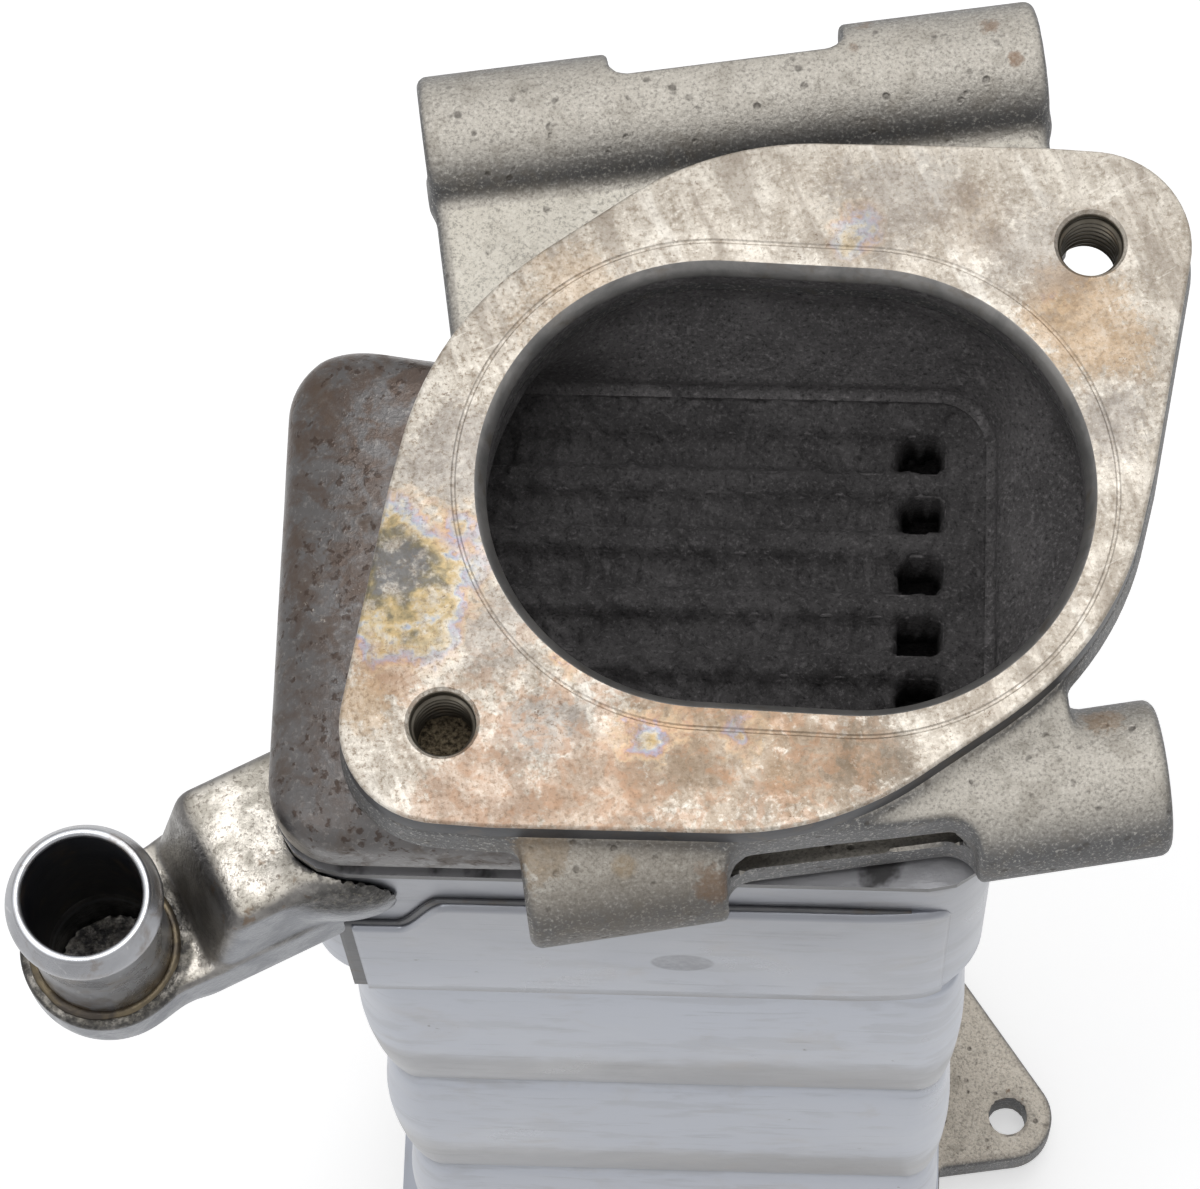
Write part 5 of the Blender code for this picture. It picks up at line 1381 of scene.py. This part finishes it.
def sheet_piece(name, rings, thickness, look, nodes=()):
    """A sheet on a grid of rows, thickened inwards, with its faces outwards."""
    points, faces = to_world(rings), grid_faces(*rings.shape[:2], wrap_columns=False)
    first = points[faces[:, 0]]
    normal = np.cross(points[faces[:, 1]] - first, points[faces[:, 3]] - first)
    away = (first - np.array([BODY_X, BODY_Y, 0]) * 0.001) * (1, 1, 0)
    if (normal * away).sum() < 0:
        faces = faces[:, ::-1]
    add_wall(make_piece(name, (points, faces), look, nodes, 40), thickness)


def tongue_rings(rise, grow_left, face):
    """Front sheet over the collar: its top edge follows the step, an eased rise from the low
    left shoulder to the high middle, and rounds down at its right corner. The lap under it
    stands out by a rise that dies away to the right, a dark strip of painted shade along the
    tongue's edge."""
    left, right = TONGUE_LEFT - grow_left, TONGUE_RIGHT - 5.0 * (rise > 0)
    x = np.linspace(left, right, 140)
    lift = rise * np.clip((right - x) / 12, 0, 1)
    step = eased(np.clip((x + lift + 32.6) / 6.4, 0, 1))
    corner = 3.5
    inside = np.clip(x - (TONGUE_RIGHT - corner), 0, corner)
    drop = corner - np.sqrt(np.maximum(corner ** 2 - inside ** 2, 0))
    top = TONGUE_TOP - 11.3 * (1 - step) + lift - drop
    z = TONGUE_FOOT + np.linspace(0, 1, 16)[:, None] * (top[None, :] - TONGUE_FOOT)
    y = tongue_front(x, face)
    return np.stack([np.broadcast_to(x, z.shape), np.broadcast_to(y, z.shape), z], axis=-1)


def tongue_front(x, face):
    """Front of the tongue: flat, then settling onto the collar and round its right corner."""
    settled = np.clip((x - TONGUE_RIGHT + 12) / 12, 0, 1) ** 2
    bend = np.maximum(x - (COLLAR_RIGHT - COLLAR_CORNER), 0)
    return (face + (-COLLAR_HALF_Y - 0.1 - face) * settled
            + COLLAR_CORNER - np.sqrt(COLLAR_CORNER ** 2 - bend ** 2))


def tongue_foot(face):
    """Eased apron from the tongue's foot in to the shell."""
    x = np.linspace(TONGUE_LEFT + 1, TONGUE_RIGHT - 1, 40)
    share = np.linspace(0, 1, 9)[:, None]
    front = tongue_front(x, face)
    y = front + eased(share) * (-SHELL_HALF_Y + 0.3 - front)
    z = np.broadcast_to(TONGUE_FOOT + 0.6 - share * 2.2, y.shape)
    return np.stack([np.broadcast_to(x, y.shape), y, z], axis=-1)


class COOLER_OT_shell(bpy.types.Operator):
    """Roll the two ribbed halves of the shell and the tongue over the collar"""
    bl_idname = "cooler.shell"
    bl_label = "Ribbed shell"

    def execute(self, context):
        face = -(COLLAR_HALF_Y + 0.3 + TONGUE_WALL)
        sheet_piece("shell_front_skin", shell_rings(True), SHELL_WALL, "shell", ["shell_front"])
        sheet_piece("shell_back_skin", shell_rings(False), SHELL_WALL, "shell", ["shell_back"])
        sheet_piece("tongue", tongue_rings(0.0, 0.0, face), TONGUE_WALL, "shell")
        # the lap is a dark sheet of painted shade along the tongue's top and left edges
        sheet_piece("tongue_shade_lap", tongue_rings(0.6, 1.9, face + 0.55), 0.5, "seam")
        sheet_piece("tongue_foot", tongue_foot(face), TONGUE_WALL, "shell")
        return {"FINISHED"}


def collar_rows(grow):
    """Shelf, rounded rim, straight wall and step in to the shell, at one skin of the sheet."""
    def outline(extra):
        return box_outline(COLLAR_LEFT, COLLAR_RIGHT, COLLAR_HALF_Y, COLLAR_CORNER, extra, 16, 12)
    rows = [level(outline(-COLLAR_SHELF), COLLAR_TOP + grow)]
    for turn in np.linspace(0, 1, 7) * math.pi / 2:
        c, s = math.cos(turn), math.sin(turn)
        rows.append(level(outline(-COLLAR_RIM * (1 - s) + grow * s),
                          COLLAR_TOP + grow * c - COLLAR_RIM * (1 - c)))
    side = outline(grow)
    for z in (COLLAR_TOP - COLLAR_RIM - 0.8, COLLAR_FOOT + 5.2, COLLAR_FOOT + 4.2,
              COLLAR_FOOT + COLLAR_STEP):
        rows.append(level(side, z))
    foot = box_outline(SHELL_HALF_X, SHELL_HALF_X, SHELL_HALF_Y, SHELL_CORNER, grow, 16, 12)
    for share in np.linspace(0, 1, 9)[1:]:
        rows.append(level(side + (foot - side) * eased(share),
                          COLLAR_FOOT + COLLAR_STEP * (1 - share)))
    return rows


class COOLER_OT_collars(bpy.types.Operator):
    """Press the two coolant collars"""
    bl_idname = "cooler.collars"
    bl_label = "Coolant collars"

    def execute(self, context):
        solid = ring_solid(collar_rows(0.0) + collar_rows(-COLLAR_WALL)[::-1])
        make_piece("inlet_collar_skin", solid, "shell", ["inlet_collar"], 50)
        dress("outlet_collar", "shell")
        return {"FINISHED"}


def hull(across, width, z, top, depth):
    """Straight-sided down to a height, then an ellipse round to its keel."""
    return np.where(z > top, across - width,
                    (np.hypot(across / width, (z - top) / depth) - 1) * width)


def elbow_body(x, y, z):
    """Field of the elbow: round socket, rounded arm and taller block blended together, less the
    spigot's socket, the passage and the collar's room."""
    reach = np.hypot(x, y)
    bowl = hull(reach, SPIGOT_RADIUS + 2.14, z, ELBOW_TOP - 4.2, 12.8)
    bowl = soft_max(bowl, z - ELBOW_TOP, 0.8)
    keel = ELBOW_TOP - 5.1
    arm = hull(np.abs(y), ELBOW_HALF_WIDTH, z, keel, 11.4)
    arm = np.maximum(soft_max(arm, z - ELBOW_TOP, 1.2), -x)
    block = np.where(z > keel, np.abs(y) - ELBOW_HALF_WIDTH, arm)
    lean = (11.0 - x) * 0.95 + (z - ELBOW_TOP) * 0.28
    block = soft_max(soft_max(soft_max(block, z + 30.0, 2.6), lean, 2.4), x - 60.0, 0.5)
    body = soft_min(soft_min(bowl, arm, 1.2), block, 1.4)
    c, s = math.cos(ELBOW_ANGLE), math.sin(ELBOW_ANGLE)
    bx, by = SPIGOT_X + c * x - s * y, SPIGOT_Y + s * x + c * y
    room = slab(bx, by, (-COLLAR_LEFT - 0.2, -COLLAR_HALF_Y - 0.2),
                (COLLAR_RIGHT, COLLAR_HALF_Y), COLLAR_CORNER)
    lobe = (np.sqrt(((bx + 40.0) / 8.5) ** 2 + ((by + 31.0) / 3.6) ** 2
                    + ((z + 36.0) / 8.0) ** 2) - 1) * 3.6
    body = soft_max(soft_min(body, lobe, 1.6), -room, 0.4)
    socket = np.maximum(reach - SPIGOT_RADIUS - 0.2, -48.0 - z)
    well = np.maximum(reach - 7.2, -57.5 - z)
    passage = np.maximum(np.hypot(y, z + 53.2) - 4.6, -x)
    body = soft_max(body, -socket, 0.5)
    return soft_max(soft_max(body, -well, 1.0), -passage, 1.0)


class COOLER_OT_elbow(bpy.types.Operator):
    """Cast the coolant elbow at the collar's corner"""
    bl_idname = "cooler.elbow"
    bl_label = "Coolant elbow"

    def execute(self, context):
        seat = {"x": SPIGOT_X, "y": SPIGOT_Y, "clock": ELBOW_ANGLE}
        points, faces = skin(elbow_body, (-12, -16, -63.5), (42, 14, -26.5),
                             context.scene.cooler_looks.skin_step * 900)
        make_piece("coolant_elbow_skin", outward(to_world(points, seat), faces), "elbow",
                   ["coolant_elbow"], 50)
        return {"FINISHED"}


def lathe(profile, axis, centre):
    """A closed profile of (radius, height) points swept round an upright or a level axis."""
    radius, height = np.asarray(profile, float).T[:, :, None]
    turn = around(LATHE_STEPS)
    a, b = radius * np.cos(turn), radius * np.sin(turn)
    h = np.broadcast_to(height, a.shape)
    return ring_solid(np.stack([a, b, h] if axis == "z" else [a, h, b], axis=-1) + centre)


def spigot_profile(foot, top):
    """Plain tube, eased hose bead whose height follows a power of the sine, and a rounded
    mouth."""
    outer, inner = SPIGOT_RADIUS, SPIGOT_RADIUS - SPIGOT_WALL
    bead = [(outer + SPIGOT_BEAD * math.sin(math.pi * k * 0.93) ** 1.4, top - 6.6 + 5.8 * k)
            for k in np.linspace(0, 1, 15)]
    turns = [(math.cos(k), math.sin(k)) for k in np.linspace(0, math.pi / 2, 5)]
    centre = top - SPIGOT_LIP
    lip = [(outer - SPIGOT_LIP + SPIGOT_LIP * c, centre + SPIGOT_LIP * s) for c, s in turns]
    back = [(inner + SPIGOT_LIP - SPIGOT_LIP * s, centre + SPIGOT_LIP * c) for c, s in turns[1:]]
    return [(inner, foot), (outer, foot)] + bead + lip + back


class COOLER_OT_spigots(bpy.types.Operator):
    """Turn the two hose spigots and the outlet boss"""
    bl_idname = "cooler.spigots"
    bl_label = "Hose spigots"

    def execute(self, context):
        boss = (-18.0, COLLAR_HALF_Y + 0.3, -COLLAR_FOOT - 26.0 - TOP)
        for end, axis, centre, foot, top in (
                ("inlet", "z", (SPIGOT_X, SPIGOT_Y, 0), -47.7, -21.0),
                ("outlet", "y", boss, 4.3, 34.0)):
            profile = spigot_profile(foot, top)
            piece = make_piece(end + "_spigot_skin", lathe(profile, axis, centre), "spigot",
                               [end + "_spigot"], 50)
            # painted shade: the bore's inner wall in near black
            second_look(piece, "bore", LATHE_STEPS, len(profile) - 1)
        ring = [(7.4, 0.0), (11.5, 0.0), (11.5, 5.8), (11.1, 6.7), (10.3, 7.0), (8.9, 7.0),
                (8.9, 4.0), (7.4, 4.0)]
        make_piece("outlet_boss_skin", lathe(ring, "y", boss), "elbow", ["outlet_boss"],
                   35)
        return {"FINISHED"}


def bead(centre, radius, thickness, wobble, seed):
    """Uneven braze ring: a torus whose thickness and height wander with a few sines."""
    turn, bend = around(120)[None, :], around(12)[:, None]
    wander = 1 + wobble * (np.sin(3 * turn + seed) + 0.7 * np.sin(7 * turn + 2 * seed)
                           + 0.5 * np.sin(13 * turn + 3 * seed))
    reach = radius + thickness * wander * np.cos(bend)
    return ring_solid(np.stack([centre[0] + reach * np.cos(turn), centre[1] + reach * np.sin(turn),
                                centre[2] + thickness * 0.8 * wander * np.sin(bend)], axis=-1))


class COOLER_OT_braze(bpy.types.Operator):
    """Lay the brazed fillet at the spigot's foot"""
    bl_idname = "cooler.braze"
    bl_label = "Braze"

    def execute(self, context):
        ring = bead((SPIGOT_X, SPIGOT_Y, ELBOW_TOP), SPIGOT_RADIUS + 0.3, 0.75, 0.10, 1.3)
        make_piece("spigot_braze", ring, "braze", angle=60)
        return {"FINISHED"}


class COOLER_PT_panel(bpy.types.Panel):
    """Pieces of the cooler, in the order that they are made"""
    bl_label = "Cooler"
    bl_idname = "COOLER_PT_panel"
    bl_space_type = "VIEW_3D"
    bl_region_type = "UI"
    bl_category = "Cooler"

    def draw(self, context):
        for name in CoolerLooks.__annotations__:
            self.layout.prop(context.scene.cooler_looks, name)
        for kind in OPERATORS:
            self.layout.operator(kind.bl_idname)


OPERATORS = (COOLER_OT_stage, COOLER_OT_inlet_casting, COOLER_OT_outlet_casting,
             COOLER_OT_threads, COOLER_OT_tanks, COOLER_OT_core, COOLER_OT_shell,
             COOLER_OT_collars, COOLER_OT_elbow, COOLER_OT_spigots, COOLER_OT_braze)


def register():
    for kind in (CoolerLooks, *OPERATORS, COOLER_PT_panel):
        bpy.utils.register_class(kind)
    bpy.types.Scene.cooler_looks = bpy.props.PointerProperty(type=CoolerLooks)


def unregister():
    del bpy.types.Scene.cooler_looks
    for kind in (COOLER_PT_panel, *reversed(OPERATORS), CoolerLooks):
        bpy.utils.unregister_class(kind)


def main():
    register()
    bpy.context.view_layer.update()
    for kind in OPERATORS:
        family, name = kind.bl_idname.split(".")
        getattr(getattr(bpy.ops, family), name)()


if __name__ == "__main__":
    main()
